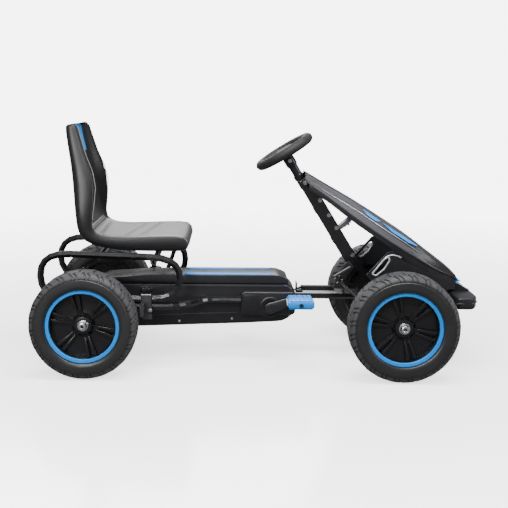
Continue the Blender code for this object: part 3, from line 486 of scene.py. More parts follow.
# %% [markdown]
# ## The seat
#
# A blow-moulded bucket has no sharp fold anywhere: the back runs into the pan in one sweep, and
# side bolsters stand forward of it. One ring of edges is placed at the top of the backrest and
# extruded down and forward, station by station. Each station says where the sitting surface, the
# bolster's edge and the rear surface lie in side view. A subdivision smooths the rest.

# %% Seat stations: sitting surface, bolster edge, rear surface
STATIONS = [
    ((-0.047, 0.622), (-0.033, 0.6262), (-0.0565, 0.6245)), ((-0.046, 0.615), (-0.027, 0.62), (-0.06, 0.616)),
    ((-0.044, 0.595), (-0.02, 0.596), (-0.058, 0.595)), ((-0.035, 0.55), (-0.006, 0.55), (-0.05, 0.55)),
    ((-0.027, 0.505), (0.0125, 0.505), (-0.043, 0.505)), ((-0.02, 0.465), (0.0205, 0.465), (-0.039, 0.465)),
    ((-0.013, 0.42), (0.0165, 0.418), (-0.035, 0.42)), ((-0.006, 0.385), (0.012, 0.38), (-0.0312, 0.385)),
    ((0.003, 0.363), (0.015, 0.361), (-0.028, 0.356)), ((0.018, 0.35), (0.025, 0.3515), (-0.014, 0.331)),
    ((0.04, 0.3425), (0.044, 0.3445), (0.017, 0.3158)), ((0.08, 0.34), (0.08, 0.3415), (0.075, 0.3052)),
    ((0.13, 0.344), (0.13, 0.3425), (0.13, 0.303)), ((0.18, 0.3475), (0.18, 0.3445), (0.18, 0.3026)),
    ((0.222, 0.348), (0.222, 0.345), (0.222, 0.3026)), ((0.248, 0.343), (0.245, 0.342), (0.244, 0.304)),
    ((0.258, 0.33), (0.255, 0.33), (0.252, 0.3085)), ((0.26, 0.319), (0.257, 0.319), (0.255, 0.315))]


def seat_width(z):
    return 0.15 * (1 - 0.3 * min(max((z - 0.4) / 0.227, 0), 1))


def read_station(station):
    """A station's three points, half the seat's width there, and the bolster's width."""
    sit, edge, back = (Vector((REAR + x, 0, z)) for x, z in station)
    wide = seat_width((sit.z + back.z) / 2)
    return sit, edge, back, wide, min(0.03, 0.012 + (edge - sit).length * 0.5)


def seat_ring(station):
    """Half a ring in Y from the middle of the sitting surface round to the middle of the back."""
    sit, edge, back, wide, bolster = read_station(station)
    spots = [(sit, 0.0), (sit, 0.5 * (wide - bolster)), (sit.lerp(edge, 0.06), 0.86 * (wide - bolster)),
             (sit.lerp(edge, 0.55), wide - bolster * 0.92), (edge.lerp(sit, 0.05), wide - bolster * 0.55),
             (edge, wide - bolster * 0.28), (edge.lerp(back, 0.1), wide - 0.002),
             (edge.lerp(back, 0.45), wide),
             (edge.lerp(back, 0.8), wide - 0.001), (back.lerp(edge, 0.04), wide - 0.01),
             (back, wide - 0.03), (back, wide * 0.45), (back, 0.0)]
    return [Vector((p.x, y, p.z)) for p, y in spots]


# %% Lofts
def loft(bm, rings, closed=False):
    """Extrudes the first ring through the others; returns the rows of vertices."""
    made = line(bm, rings[0], closed)
    count = len(rings[0])
    row, edges = made[:count], made[count:]
    rows = [row]
    for ring in rings[1:]:
        grown = bmesh.ops.extrude_edge_only(bm, edges=edges)["geom"]
        fresh = [g for g in grown if isinstance(g, bmesh.types.BMVert)]
        edges = [g for g in grown if isinstance(g, bmesh.types.BMEdge) and all(v in fresh for v in g.verts)]
        partner = {}
        for vert in fresh:
            others = [e.other_vert(vert) for e in vert.link_edges]
            partner[vert] = next(other for other in others if other in rows[-1])
        row = sorted(fresh, key=lambda v: rows[-1].index(partner[v]))
        for vert, spot in zip(row, ring):
            vert.co = spot
        rows.append(row)
    return rows


def cap(bm, row):
    """Closes the end of a loft with one face."""
    return bmesh.ops.contextual_create(bm, geom=row)["faces"]


print("loft helpers ready")

# %% Seat shell
bm = bmesh.new()
rows = loft(bm, [seat_ring(station) for station in STATIONS])
cap(bm, rows[0])
cap(bm, rows[-1])
for face in bm.faces:
    centre = face.calc_center_median()
    if centre.z > 0.545 and centre.x > REAR - 0.049 and centre.y < 0.08 and centre.z < 0.624:
        face.material_index = 1
mirror(bm)
SEAT_PAN = moulded("seat_pan_plastic", (0.008, 0.008, 0.009), 0.34, 0.0001, 700)
x, y, z = SEAT_PAN.axes((REAR, 0, 0))
middle = (y * y).below(0.0145, 0.005)
# The pan's top is painted pale as a highlight of the overhead light, and kept dark in the grooves and steps.
painted_sheen = z.between(0.338, 0.375, 0.008) * x.above(0.012, 0.02) * middle
slant = x - y * 0.16
line_a = slant.between(0.108, 0.111, 0.002) + slant.between(0.117, 0.12, 0.002)
line_b = slant.between(0.15, 0.153, 0.002) + slant.between(0.159, 0.162, 0.002)
steps = (z.between(0.352, 0.356, 0.003) + z.between(0.363, 0.367, 0.003)
         + z.between(0.345, 0.3475, 0.002) * x.below(0.06, 0.01))
groove = ((line_a + line_b) * x.above(0.05, 0.01) + steps * x.below(0.05, 0.02)) * middle
cloud = SEAT_PAN.noise(30, 4)
pale = SEAT_PAN.mix(cloud, (0.085, 0.078, 0.078), (0.15, 0.138, 0.138))
SEAT_PAN.set("Base Color", SEAT_PAN.mix(painted_sheen * (1 - groove * 0.75), (0.007, 0.007, 0.008), pale))
SEAT_PAN.set("Roughness", painted_sheen * 0.16 + 0.33 + (cloud - 0.5) * 0.12)
SEAT_PAN.bump(SEAT_PAN.noise(700, 2) * 0.05 - groove, 0.0016)
seat = piece("seat_bucket", bm, "seat", [SEAT_PAN, BLUE], ("seat_shell",), crease=80)
smooth = seat.modifiers.new("smooth", "SUBSURF")
smooth.levels = smooth.render_levels = 2
print("seat rows", len(rows))

# %% A painted highlight along the bolsters' edge
runs = []
for side in (1, -1):
    run = []
    for station in STATIONS[1:-1]:
        _, edge, _, wide, bolster = read_station(station)
        run.append((edge.x + 0.0002, side * (wide - bolster * 0.42), edge.z - 0.0004))
    runs.append(run)
# A pale thin line along each bolster's front edge is a painted highlight.
EDGE_HIGHLIGHT = moulded("seat_edge_highlight", (0.16, 0.155, 0.16), 0.3, 0.00004)
roll("seat_edge_highlight", runs, 0.0011, "seat", EDGE_HIGHLIGHT, False)

# %% [markdown]
# ## The steering wheel
#
# The rim is a thick foam tube round a padded hub. The wheel leans back on its raked column, so it
# is modelled flat and then turned and moved with one matrix, which also places the collars, the
# sleeve and the bolts down the column.

# %% Steering frame
COLUMN = Matrix.Translation((0.075, 0, 0.5505)) @ Matrix.Rotation(radians(58.5 - 90), 4, "Y")


def torus(bm, long, wide, thick, steps=64, sides=20):
    """An oval ring: a circle spun round Z, then stretched."""
    ring = bmesh.ops.create_circle(bm, segments=sides, radius=thick,
                                   matrix=Matrix.Translation((long, 0, 0)) @ Matrix.Rotation(pi / 2, 4, "X"))
    geom = ring["verts"] + list({e for v in ring["verts"] for e in v.link_edges})
    bmesh.ops.spin(bm, geom=geom, axis=(0, 0, 1), angle=2 * pi, steps=steps, use_merge=True)
    verts = {v for v in bm.verts if abs(v.co.z) <= thick + 0.0001}
    for vert in verts:
        vert.co.y *= (wide + thick) / (long + thick)
    return bm


bm = torus(bmesh.new(), 0.071, 0.083, 0.0125)
weld(bm)
disc(bm, 0.029, 0.016, (0.002, 0, 0.000), sides=32, top=0.024)
for side in (1, -1):
    arm = cube(bm, (0.026, 0.06, 0.01), (0.006, side * 0.048, -0.002))
    for vert in arm:
        if abs(vert.co.y) < 0.03:
            vert.co.x = 0.004 + (vert.co.x - 0.006) * 1.5
rear_arm = cube(bm, (0.052, 0.024, 0.01), (-0.042, 0, -0.002))
for vert in rear_arm:
    if vert.co.x > -0.03:
        vert.co.y *= 1.5
flats = [e for e in bm.edges if len(e.link_faces) == 2 and e.calc_face_angle(0) > 0.6]
bevel(bm, flats, 0.0022)
bmesh.ops.transform(bm, matrix=COLUMN, verts=bm.verts)
piece("steering_rim", bm, "steering", GRIP, ("steering_wheel",), crease=50)

# %% Column sleeve and its bolt
bm = bmesh.new()
profile = [(0.0065, -0.014), (0.0125, -0.014), (0.0148, -0.018), (0.0148, -0.04), (0.0136, -0.0415),
           (0.0136, -0.044), (0.0118, -0.046), (0.0115, -0.07), (0.014, -0.073), (0.014, -0.082),
           (0.0122, -0.086), (0.0065, -0.086)]
start = line(bm, [(r, 0, h) for r, h in profile], True)
bmesh.ops.spin(bm, geom=start, axis=(0, 0, 1), angle=2 * pi, steps=40, use_merge=True)
bmesh.ops.transform(bm, matrix=COLUMN, verts=bm.verts)
piece("column_sleeve", bm, "steering", SHELL, ("steering_sleeve",))


TO_RIGHT = Matrix.Rotation(pi / 2, 4, "X")       # local Z to -Y
TO_LEFT = Matrix.Rotation(-pi / 2, 4, "X")
WASHER = 0.001


def bolt_pair(bm, x, y, z, radius, height=0.0028, lean=Matrix.Identity(4)):
    """A low domed head on a washer, on the right and on the left."""
    for turn, side in ((TO_RIGHT, -1), (TO_LEFT, 1)):
        spot = Matrix.Translation(lean @ Vector((x, side * y, z))) @ turn
        washer = disc(bm, radius * 1.35, WASHER, (0, 0, WASHER / 2), sides=20)
        head = disc(bm, radius, height, (0, 0, WASHER + height / 2), sides=20, top=radius * 0.62)
        bmesh.ops.transform(bm, matrix=spot, verts=washer + head)


bm = bmesh.new()
bolt_pair(bm, 0.0, 0.0142, -0.028, 0.0038, lean=COLUMN)
piece("sleeve_bolts", bm, "steering", ZINC)
print("steering dressed")

# %% [markdown]
# ## The fairing, its liner and the nose
#
# The fairing is a long glossy cover whose section changes from a narrow ridge at the steering
# column to a broad hood over the front axle. Each cross-section is an arch with a rounded crown, a
# crease and a flank that turns under. The arch at the column is extruded forward, station by
# station, and the rounded nose end is closed by a last small arch.

# %% Fairing stations: distance from the rear axle, crown, crease y and z, foot y and z
HOOD = [(0.556, 0.501, 0.026, 0.4985, 0.034, 0.477), (0.568, 0.4945, 0.033, 0.49, 0.041, 0.4655),
        (0.62, 0.4635, 0.045, 0.4585, 0.055, 0.432), (0.69, 0.4245, 0.063, 0.418, 0.076, 0.379),
        (0.76, 0.3795, 0.079, 0.371, 0.094, 0.332), (0.83, 0.3345, 0.089, 0.326, 0.105, 0.29),
        (0.885, 0.2905, 0.087, 0.282, 0.103, 0.255), (0.93, 0.2585, 0.074, 0.251, 0.087, 0.236),
        (0.95, 0.238, 0.062, 0.233, 0.073, 0.224), (0.957, 0.229, 0.056, 0.225, 0.066, 0.219)]


def arch(crown, crease_y, crease_z, foot_y, foot_z, x):
    """Half an arch in Y: crown, shoulder, crease, flank and turned-under foot."""
    spots = [(0, crown), (crease_y * 0.4, crown - 0.0004),
             (crease_y * 0.76, crown * 0.75 + crease_z * 0.25 + 0.0008),
             (crease_y * 0.95, crown * 0.28 + crease_z * 0.72 + 0.0008),
             (crease_y + 0.0015, crease_z - 0.0012),
             (crease_y * 0.85 + foot_y * 0.15 + 0.0008, crease_z - (crease_z - foot_z) * 0.22),
             (crease_y * 0.4 + foot_y * 0.6, crease_z - (crease_z - foot_z) * 0.62),
             (foot_y, foot_z + 0.004), (foot_y - 0.0004, foot_z)]
    return [Vector((x, y, z)) for y, z in spots]


HOOD_WALL, LINER_WALL, CASE_WALL = 0.0026, 0.0022, 0.0022
FAIRING = moulded("fairing_plastic", (0.012, 0.012, 0.014), 0.26, 0.000006, 1800)
x = FAIRING.axes((REAR, 0, 0))[0]
satin = FAIRING.noise(90, 3)
# A paler band across the hood, from 0.6 to 0.86 m ahead of the rear axle, is a painted highlight of the
# lights; it is a little rougher there too.
painted_hood_sheen = x.between(0.6, 0.86, 0.1)
FAIRING.set("Roughness", 0.26 + painted_hood_sheen * 0.1 + satin * 0.04)
FAIRING.set("Base Color", FAIRING.mix(painted_hood_sheen * 0.8, (0.009, 0.009, 0.011), (0.05, 0.05, 0.058)))
bm = bmesh.new()
loft(bm, [arch(*station[1:], REAR + station[0]) for station in HOOD])
mirror(bm)
weld(bm)
outward(bm)
if sum(f.normal.z * f.calc_area() for f in bm.faces) < 0:
    bmesh.ops.reverse_faces(bm, faces=bm.faces[:])
bmesh.ops.solidify(bm, geom=bm.faces[:], thickness=HOOD_WALL)
hood = piece("hood", bm, "chassis", FAIRING, ("fairing",), crease=60, merge=False)
smooth = hood.modifiers.new("smooth", "SUBSURF")
smooth.levels = smooth.render_levels = 1
print("hood stations", len(HOOD))

# %% Liner under the hood
LINER_LOWEST = 0.196
liner = []
for reach, crown, crease_y, crease_z, foot_y, foot_z in HOOD[1:-1]:
    deep = 0.0115 + 0.022 * min(max((reach - 0.76) / 0.1, 0), 1)
    edge = [(foot_y - 0.0055, foot_z + 0.01), (foot_y - 0.0045, foot_z),
            (foot_y - 0.005, foot_z - deep), (foot_y - 0.009, foot_z - deep - 0.001)]
    liner.append([Vector((REAR + reach, y, max(z, LINER_LOWEST))) for y, z in edge])
bm = bmesh.new()
loft(bm, liner)
mirror(bm)
bmesh.ops.solidify(bm, geom=bm.faces[:], thickness=-LINER_WALL)
outward(bm)
piece("hood_liner", bm, "chassis", SHELL, ("fairing_liner",), crease=50, merge=False)

# %% Blue strips on the crease, and a painted highlight line beside them
def strip(name, finish, stretches, width, high=0.0006, start=0.0, lift=0.0004):
    """A thin ribbon that follows the crease of the hood on both sides."""
    bm = bmesh.new()
    for low, high_x in stretches:
        for side in (1, -1):
            rings = []
            for k in range(9):
                reach = low + (high_x - low) * k / 8
                a, b = max((s, t) for s, t in zip(HOOD, HOOD[1:]) if s[0] <= reach)
                share = min(max((reach - a[0]) / (b[0] - a[0]), 0), 1)
                crown, cy, cz, fy, fz = (p + (q - p) * share for p, q in zip(a[1:], b[1:]))
                down = Vector((0, fy - cy, fz - cz)).normalized()
                out = Vector((0, -down.z, down.y))
                top = Vector((0, cy + 0.0015, cz - 0.0012)) + down * start + out * lift
                taper = min(1, 3.0 * k / 8 + 0.25, 3.0 * (8 - k) / 8 + 0.25)
                foot = top + down * width * taper
                rings.append([Vector((REAR + reach, side * p.y, p.z)) for p in
                              (top - out * 0.0012, top + out * high, foot + out * high, foot - out * 0.0012)])
            rows = loft(bm, rings, True)
            cap(bm, rows[0])
            cap(bm, rows[-1])
    outward(bm)
    return piece(name, bm, "chassis", finish, crease=40, merge=False)


strip("hood_stripes", BLUE, ((0.706, 0.748), (0.757, 0.842)), 0.0085)
# A thin pale ribbon beside the crease is a painted highlight.
strip("hood_crease_highlight", HIGHLIGHT_LINE, ((0.6, 0.85),), 0.0016, 0.0004, 0.0135, 0.0002)
print("hood stripes done")

# %% [markdown]
# ## The chain case
#
# The case is two deep trays that meet on the middle plane, and a lid that sits in their open top.
# A tray is its outline filled, its rim extruded towards the middle, its outer edge rounded, and the
# whole given a wall. A raised rail along the side stiffens it, and a blue strip runs on the lid.

# %% Helpers for outlines
def outline_face(bm, points):
    """A filled outline."""
    return cap(bm, line(bm, points, True)[:len(points)])[0]


def prism(bm, outline, low, high, round_by=0.0, segments=3, axis="Y"):
    """An outline in (x, z), given thickness along Y, with its long edges rounded."""
    make = (lambda a, b, c: (a, c, b)) if axis == "Y" else (lambda a, b, c: (a, b, c))
    face = outline_face(bm, [make(a, b, low) for a, b in outline])
    grown = bmesh.ops.extrude_face_region(bm, geom=[face])["geom"]
    fresh = [v for v in grown if isinstance(v, bmesh.types.BMVert)]
    bmesh.ops.translate(bm, vec=make(0, 0, high - low), verts=fresh)
    outward(bm)
    if round_by:
        rims = [e for e in bm.edges if all(v in fresh for v in e.verts) or
                (not any(v in fresh for v in e.verts) and all(v in face.verts for v in e.verts))]
        bmesh.ops.bevel(bm, geom=rims, offset=round_by, segments=segments, profile=0.5, affect="EDGES",
                        material=-1, clamp_overlap=True)
    return fresh


def rounded(points, radius, steps=4):
    """The same outline with every corner replaced by an arc."""
    made = []
    for before, here, after in zip(points[-1:] + points[:-1], points, points[1:] + points[:1]):
        before, here, after = Vector(before), Vector(here), Vector(after)
        one, two = before - here, after - here
        reach = min(radius, one.length * 0.45, two.length * 0.45)
        start, end = here + one.normalized() * reach, here + two.normalized() * reach
        for k in range(steps + 1):
            t = k / steps
            made.append(tuple((start * (1 - t) ** 2 + here * 2 * t * (1 - t) + end * t ** 2)))
    return made


def from_rear(points, radius, steps=4):
    """An outline whose first number counts from the rear axle, with its corners rounded."""
    return rounded([(REAR + x, z) for x, z in points], radius, steps)


def side_prism(bm, outline, side, near, far, round_by, segments=2):
    """An outline given thickness on one side of the kart, from near to far in Y."""
    prism(bm, outline, *sorted((side * near, side * far)), round_by, segments)


# %% Case halves
CASE_SIDE = 0.058
CASE_BACK, CASE_NOSE = -0.047, 0.539
CASE = [(CASE_BACK, 0.105), (CASE_BACK + 0.012, 0.09), (0, 0.084), (0.125, 0.087), (CASE_NOSE - 0.137, 0.098),
        (CASE_NOSE - 0.035, 0.104), (CASE_NOSE - 0.009, 0.121), (CASE_NOSE, 0.149),
        (CASE_NOSE - 0.004, 0.187),
        (CASE_NOSE - 0.02, 0.206), (0.02, 0.206), (CASE_BACK, 0.183)]
CASE = from_rear(CASE, 0.016, 3)
for side, stem in SIDES:
    bm = bmesh.new()
    face = outline_face(bm, [(x, side * CASE_SIDE, z) for x, z in CASE])
    rim = list(face.edges)
    grown = bmesh.ops.extrude_edge_only(bm, edges=rim)["geom"]
    fresh = [v for v in grown if isinstance(v, bmesh.types.BMVert)]
    bmesh.ops.translate(bm, vec=(0, -side * 0.0575, 0), verts=fresh)
    bevel(bm, rim, 0.01, 4)
    outward(bm)
    bmesh.ops.solidify(bm, geom=bm.faces[:], thickness=CASE_WALL)
    piece(f"case_{stem}", bm, "chassis", SHELL,
          (f"chain_case_{stem}",), crease=40, merge=False)
print("case outline points", len(CASE))

# %% Side rails, lid and its blue strip
SATIN = moulded("case_edge_plastic", (0.026, 0.026, 0.029), 0.27, 0.00003)
for side, stem in SIDES:
    bm = bmesh.new()
    rail = from_rear([(0.03, 0.1985), (0.03, 0.2035), (0.505, 0.2035), (0.516, 0.1985)], 0.002)
    side_prism(bm, rail, side, 0.056, 0.06, 0.0012)
    step = from_rear([(0.15, 0.118), (0.15, 0.1205), (0.385, 0.13), (0.385, 0.1275)], 0.001)
    side_prism(bm, step, side, 0.056, 0.0592, 0.0008)
    piece(f"case_rail_{stem}", bm, "chassis", SATIN, crease=40)
LID = from_rear([(0.005, 0.2063), (0.519, 0.2063), (0.515, 0.2183), (0.489, 0.2293), (0.15, 0.2273),
                 (0.03, 0.2183)], 0.008, 3)
bm = bmesh.new()
prism(bm, LID, -0.056, 0.056, 0.0075, 4)
piece("case_lid", bm, "chassis", SHELL, ("chain_case_lid",), crease=40)
bm = bmesh.new()
for side in (1, -1):
    band = [(0.245, side * 0.03), (0.245, side * 0.0505), (0.48, side * 0.0505), (0.47, side * 0.036)]
    prism(bm, from_rear(band, 0.004), 0.2262, 0.2306, 0.0006, 1, axis="Z")
piece("lid_strips", bm, "chassis", BLUE, crease=40)
print("lid and strips done")

# %% [markdown]
# ## Crank, covers and pedals
#
# A forged one-piece crank tapers from its boss to the pedal's eye. A rounded cover on each side
# hides the bearing cup. The pedals are blue blocks with treads across both faces.

# %% Crank covers with their bearing cups
AXIS = Vector((0.04, 0, 0.147))
for side, stem in SIDES:
    bm = bmesh.new()
    block = from_rear([(0.3925, 0.126), (0.3925, 0.188), (0.535, 0.188), (0.535, 0.126)], 0.013, 5)
    side_prism(bm, block, side, 0.0575, 0.0762, 0.004, 3)
    panel = from_rear([(0.4, 0.133), (0.4, 0.181), (0.44, 0.181), (0.44, 0.133)], 0.008)
    side_prism(bm, panel, side, 0.0752, 0.0785, 0.0014)
    spun(bm, [(0.0095, 0.074), (0.028, 0.074), (0.028, 0.078), (0.026, 0.0793), (0.0225, 0.0793),
              (0.021, 0.077), (0.0095, 0.0765)], 36)
    loose = [v for v in bm.verts if (v.co.x ** 2 + v.co.z ** 2) ** 0.5 < 0.03 and v.co.y > 0.05]
    for vert in loose:
        vert.co = Vector((vert.co.x + AXIS.x, side * vert.co.y, vert.co.z + AXIS.z))
    piece(f"crank_cover_shell_{stem}", bm, "chassis", SHELL,
          (f"crank_cover_{stem}",), crease=40)


# %% Crank
def taper(bm, start, end, big, small, side, steps=10):
    """A flat arm between two round ends, on one side of the kart."""
    lean = atan2(end[1] - start[1], end[0] - start[0])
    points = []
    for centre, radius, turn in ((start, big, pi / 2), (end, small, -pi / 2)):
        for k in range(steps + 1):
            angle = lean + turn + pi * k / steps
            points.append((centre[0] + radius * cos(angle), centre[1] + radius * sin(angle)))
    side_prism(bm, points, side, 0.0835, 0.0915, 0.0022, 3)


EYES = {-1: (0.11405, 0.17395), 1: (-0.03405, 0.12005)}
CRANK_STEEL = metal("crank_steel", (0.085, 0.085, 0.092), 0.32)
bm = bmesh.new()
for side in (-1, 1):
    taper(bm, (AXIS.x, AXIS.z), EYES[side], 0.015, 0.0095, side)
disc(bm, 0.007, 0.181, AXIS, ALONG_Y, 28)
for side in (-1, 1):
    disc(bm, 0.0098, 0.003, AXIS + Vector((0, side * 0.093, 0)), ALONG_Y, 24)
    x, z = EYES[side]
    disc(bm, 0.005, 0.094, (x, side * 0.1305, z), ALONG_Y, 20)
    disc(bm, 0.0078, 0.002, (x, side * 0.0925, z), ALONG_Y, 6)
piece("crank_arms", bm, "crank_set", CRANK_STEEL, ("crank",), crease=35)
print("crank done")

# %% Pedals
PEDAL_WHITE = moulded("pale_reflector", (0.62, 0.68, 0.74), 0.22, 0.00003)
for side, stem in ((-1, "right"), (1, "left")):
    x, z = EYES[side]
    spot = Vector((x, side * 0.133, z))
    bm = bmesh.new()
    block = [(-0.033, -0.006), (-0.029, -0.0085), (0.029, -0.0085), (0.033, -0.006),
             (0.033, 0.006), (0.029, 0.0085), (-0.029, 0.0085), (-0.033, 0.006)]
    side_prism(bm, [(x + a, z + b) for a, b in rounded(block, 0.002, 2)], side, 0.093, 0.173, 0.0025)
    for face in (1, -1):
        for k in range(5):
            along = -0.0235 + 0.01175 * k
            rib = cube(bm, (0.0042, 0.074, 0.003), spot + Vector((along, 0, face * 0.0096)))
            for vert in rib:
                if (vert.co.z - z) * face > 0.01:
                    vert.co.x = spot.x + along + (vert.co.x - spot.x - along) * 0.6
        for end in (-1, 1):
            cube(bm, (0.058, 0.005, 0.003), spot + Vector((0, end * 0.035, face * 0.0092)))
    piece(f"{stem}_pedal_body", bm, f"{stem}_pedal", BLUE, (f"pedal_{stem}",), crease=30)
    # Pale pieces on both ends of each pedal.
    bm = bmesh.new()
    for end in (-1, 1):
        cube(bm, (0.0022, 0.046, 0.0085), spot + Vector((end * 0.0334, 0, 0)))
    piece(f"{stem}_pedal_pale_ends", bm, f"{stem}_pedal", PEDAL_WHITE, crease=30)
print("pedals done")

# %% [markdown]
# ## Steering post and the hood's supports
#
# The post is a pressed channel that leans with the column. Its flat web is in front of the shaft and
# its open side behind, towards the rider. Four bright bolts on each side clamp the bushes that the
# shaft turns in, and a fifth holds the collar at the top.

# %% Steering post
POST_TOP, POST_FOOT = -0.0915, -0.436


def in_column(bm, work):
    """Runs some modelling, then leans what it made with the steering column."""
    before = set(bm.verts)
    work()
    made = [v for v in bm.verts if v not in before]
    bmesh.ops.transform(bm, matrix=COLUMN, verts=made)


bm = bmesh.new()
SWEEP_TOP = -0.338         # below this the pitman arm swings, so the channel is cut back


def channel(back):
    """The post's section; back says how far its sides reach behind the web."""
    return [(0.0215, -0.0125), (0.023, -0.011), (0.023, 0.011), (0.0215, 0.0125),
            (back, 0.0125), (back, 0.0102), (0.0205, 0.0102), (0.0205, -0.0102),
            (back, -0.0102), (back, -0.0125)]


def post():
    prism(bm, channel(0.007), POST_FOOT, SWEEP_TOP, axis="Z")
    prism(bm, channel(-0.0105), SWEEP_TOP + 0.0002, POST_TOP, axis="Z")
    for height in (-0.176, -0.27):
        disc(bm, 0.0098, 0.018, (0.0, 0, height), sides=28)
        cube(bm, (0.01, 0.027, 0.014), (-0.007, 0, height))
    prism(bm, rounded([(-0.0125, -0.0145), (-0.0125, 0.0145), (0.0245, 0.0145), (0.0245, -0.0145)], 0.009, 5),
          POST_TOP - 0.018, POST_TOP + 0.004, 0.0014, 2, axis="Z")


in_column(bm, post)
piece("steering_channel", bm, "chassis", PAINT, ("steering_post",), crease=40)
bm = bmesh.new()
for height in (-0.159, -0.205, -0.245, -0.33):
    bolt_pair(bm, 0.015, 0.0125, height, 0.004, 0.0026, COLUMN)
bolt_pair(bm, 0.005, 0.0145, POST_TOP - 0.007, 0.004, 0.0026, COLUMN)
piece("post_bolts", bm, "chassis", ZINC)
bm = bmesh.new()
strap = [(0.214, 0.344), (0.236, 0.3475), (0.255, 0.361), (0.268, 0.39), (0.264, 0.3915), (0.251, 0.364),
         (0.234, 0.3515), (0.213, 0.348)]
prism(bm, rounded(strap, 0.012, 3), -0.013, 0.013, 0.0009, 2)
piece("hood_strap", bm, "chassis", SATIN_STEEL, ("fairing_brace",), crease=40)
print("post done")

# %% [markdown]
# ## Pods, nose and bumper
#
# The side pods carry the hood's rear legs. Their long opening has a rolled edge drawn as a closed
# curve, painted pale as a highlight. The nose has a plain blue shield between two pale lines painted
# as highlights, and the bumper is a rounded bar with a groove along its front.

# %% Pod rims painted as highlights, and softened edges
OPENING = rounded([(0.722, 0.25), (0.732, 0.245), (0.752, 0.262), (0.766, 0.285), (0.762, 0.294),
                   (0.752, 0.288)], 0.004, 3)
# The pale rolled rim round each pod opening is a painted highlight.
roll("pod_rim_highlights", [[(REAR + x, side * 0.1384, z) for x, z in OPENING] for side in (1, -1)],
     0.0024, "chassis", HIGHLIGHT_LINE)
# The pale hook ahead of the opening is a painted highlight too.
HOOK = [(0.752, 0.2895), (0.76, 0.2955), (0.772, 0.2985), (0.784, 0.2965), (0.794, 0.2915)]
roll("pod_hook_highlights", [[(REAR + x, side * 0.138, z) for x, z in HOOK] for side in (1, -1)],
     0.002, "chassis", HIGHLIGHT_LINE, False)
for name in ("side_pod_left", "side_pod_right", "nose_panel"):
    soften(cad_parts[name], 0.0016)
for name in ("front_axle_beam", "crank_bracket", "seat_clamp_left", "seat_clamp_right", "brake_shaft"):
    soften(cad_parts[name], 0.0008)

# %% Nose shield and its painted highlight lines
bm = bmesh.new()
shield = [(0, -0.03), (0.0185, -0.024), (0.0215, 0.0), (0.0185, 0.024), (0, 0.03),
          (-0.004, 0.018), (-0.004, -0.018)]
prism(bm, rounded(shield, 0.003), -0.0004, 0.0014, 0.0005, 1, axis="Z")
lean = Matrix.Translation((0.5325, 0, 0.2083)) @ Matrix.Rotation(atan2(0.211 - 0.1923, 0.031), 4, "Y")
bmesh.ops.transform(bm, matrix=lean, verts=bm.verts)
piece("nose_shield", bm, "chassis", BLUE, crease=40)
# Two pale lines along the nose's edges are painted highlights.
NOSE_LINE = [(0.56, 0.1945), (0.53, 0.2115), (0.5125, 0.215), (0.497, 0.23)]
roll("nose_highlight_lines", [[(x, side * 0.0585, z) for x, z in NOSE_LINE] for side in (1, -1)],
     0.0011, "chassis", HIGHLIGHT_LINE, False)
bm = bmesh.new()
for side in (1, -1):
    flash = from_rear([(0.928, 0.232), (0.928, 0.238), (0.952, 0.23), (0.966, 0.217),
                       (0.954, 0.2175)], 0.002)
    side_prism(bm, flash, side, 0.06, 0.064, 0.0006, 1)
piece("nose_flashes", bm, "chassis", BLUE, crease=40)

# %% Bumper
BUMPER = [(0.506, -0.15), (0.512, -0.155), (0.548, -0.155), (0.564, -0.12), (0.564, 0.12),
          (0.548, 0.155), (0.512, 0.155), (0.506, 0.15)]
bm = bmesh.new()
prism(bm, rounded(BUMPER, 0.012, 5), 0.162, 0.192, 0.0045, 3, axis="Z")
piece("bumper_bar", bm, "chassis", SHELL, ("front_bumper",), crease=40)
bm = bmesh.new()
for side in (1, -1):
    band = [(0.505, side * 0.1535), (0.505, side * 0.1562), (0.549, side * 0.1562), (0.5655, side * 0.1205),
            (0.5655, side * 0.07), (0.5635, side * 0.07), (0.5635, side * 0.1185), (0.547, side * 0.1535)]
    prism(bm, band, 0.1755, 0.179, 0.0006, 1, axis="Z")
piece("bumper_bead", bm, "chassis", SATIN, crease=40)
print("nose and bumper done")

# %% [markdown]
# ## Knobs, bolts and small brackets

# %% Clamp knobs with lobes
LOBES, LOBE_STEPS = 6, 48
for side, stem in SIDES:
    bm = bmesh.new()
    lobes = []
    for k in range(LOBE_STEPS):
        turn = 2 * pi * k / LOBE_STEPS
        reach = 0.015 + 0.0026 * cos(LOBES * turn)
        lobes.append((reach * cos(turn), reach * sin(turn)))
    prism(bm, lobes, 0.2005, 0.214, 0.0022, 2, axis="Z")
    disc(bm, 0.0075, 0.003, (0, 0, 0.1992), sides=24)
    disc(bm, 0.007, 0.0022, (0, 0, 0.215), sides=24, top=0.0055)
    bmesh.ops.translate(bm, vec=(-0.279, side * 0.147, 0), verts=bm.verts)
    piece(f"{stem}_star_knob", bm, f"{stem}_clamp_knob", KNOB,
          (f"clamp_knob_{stem}",), crease=40)

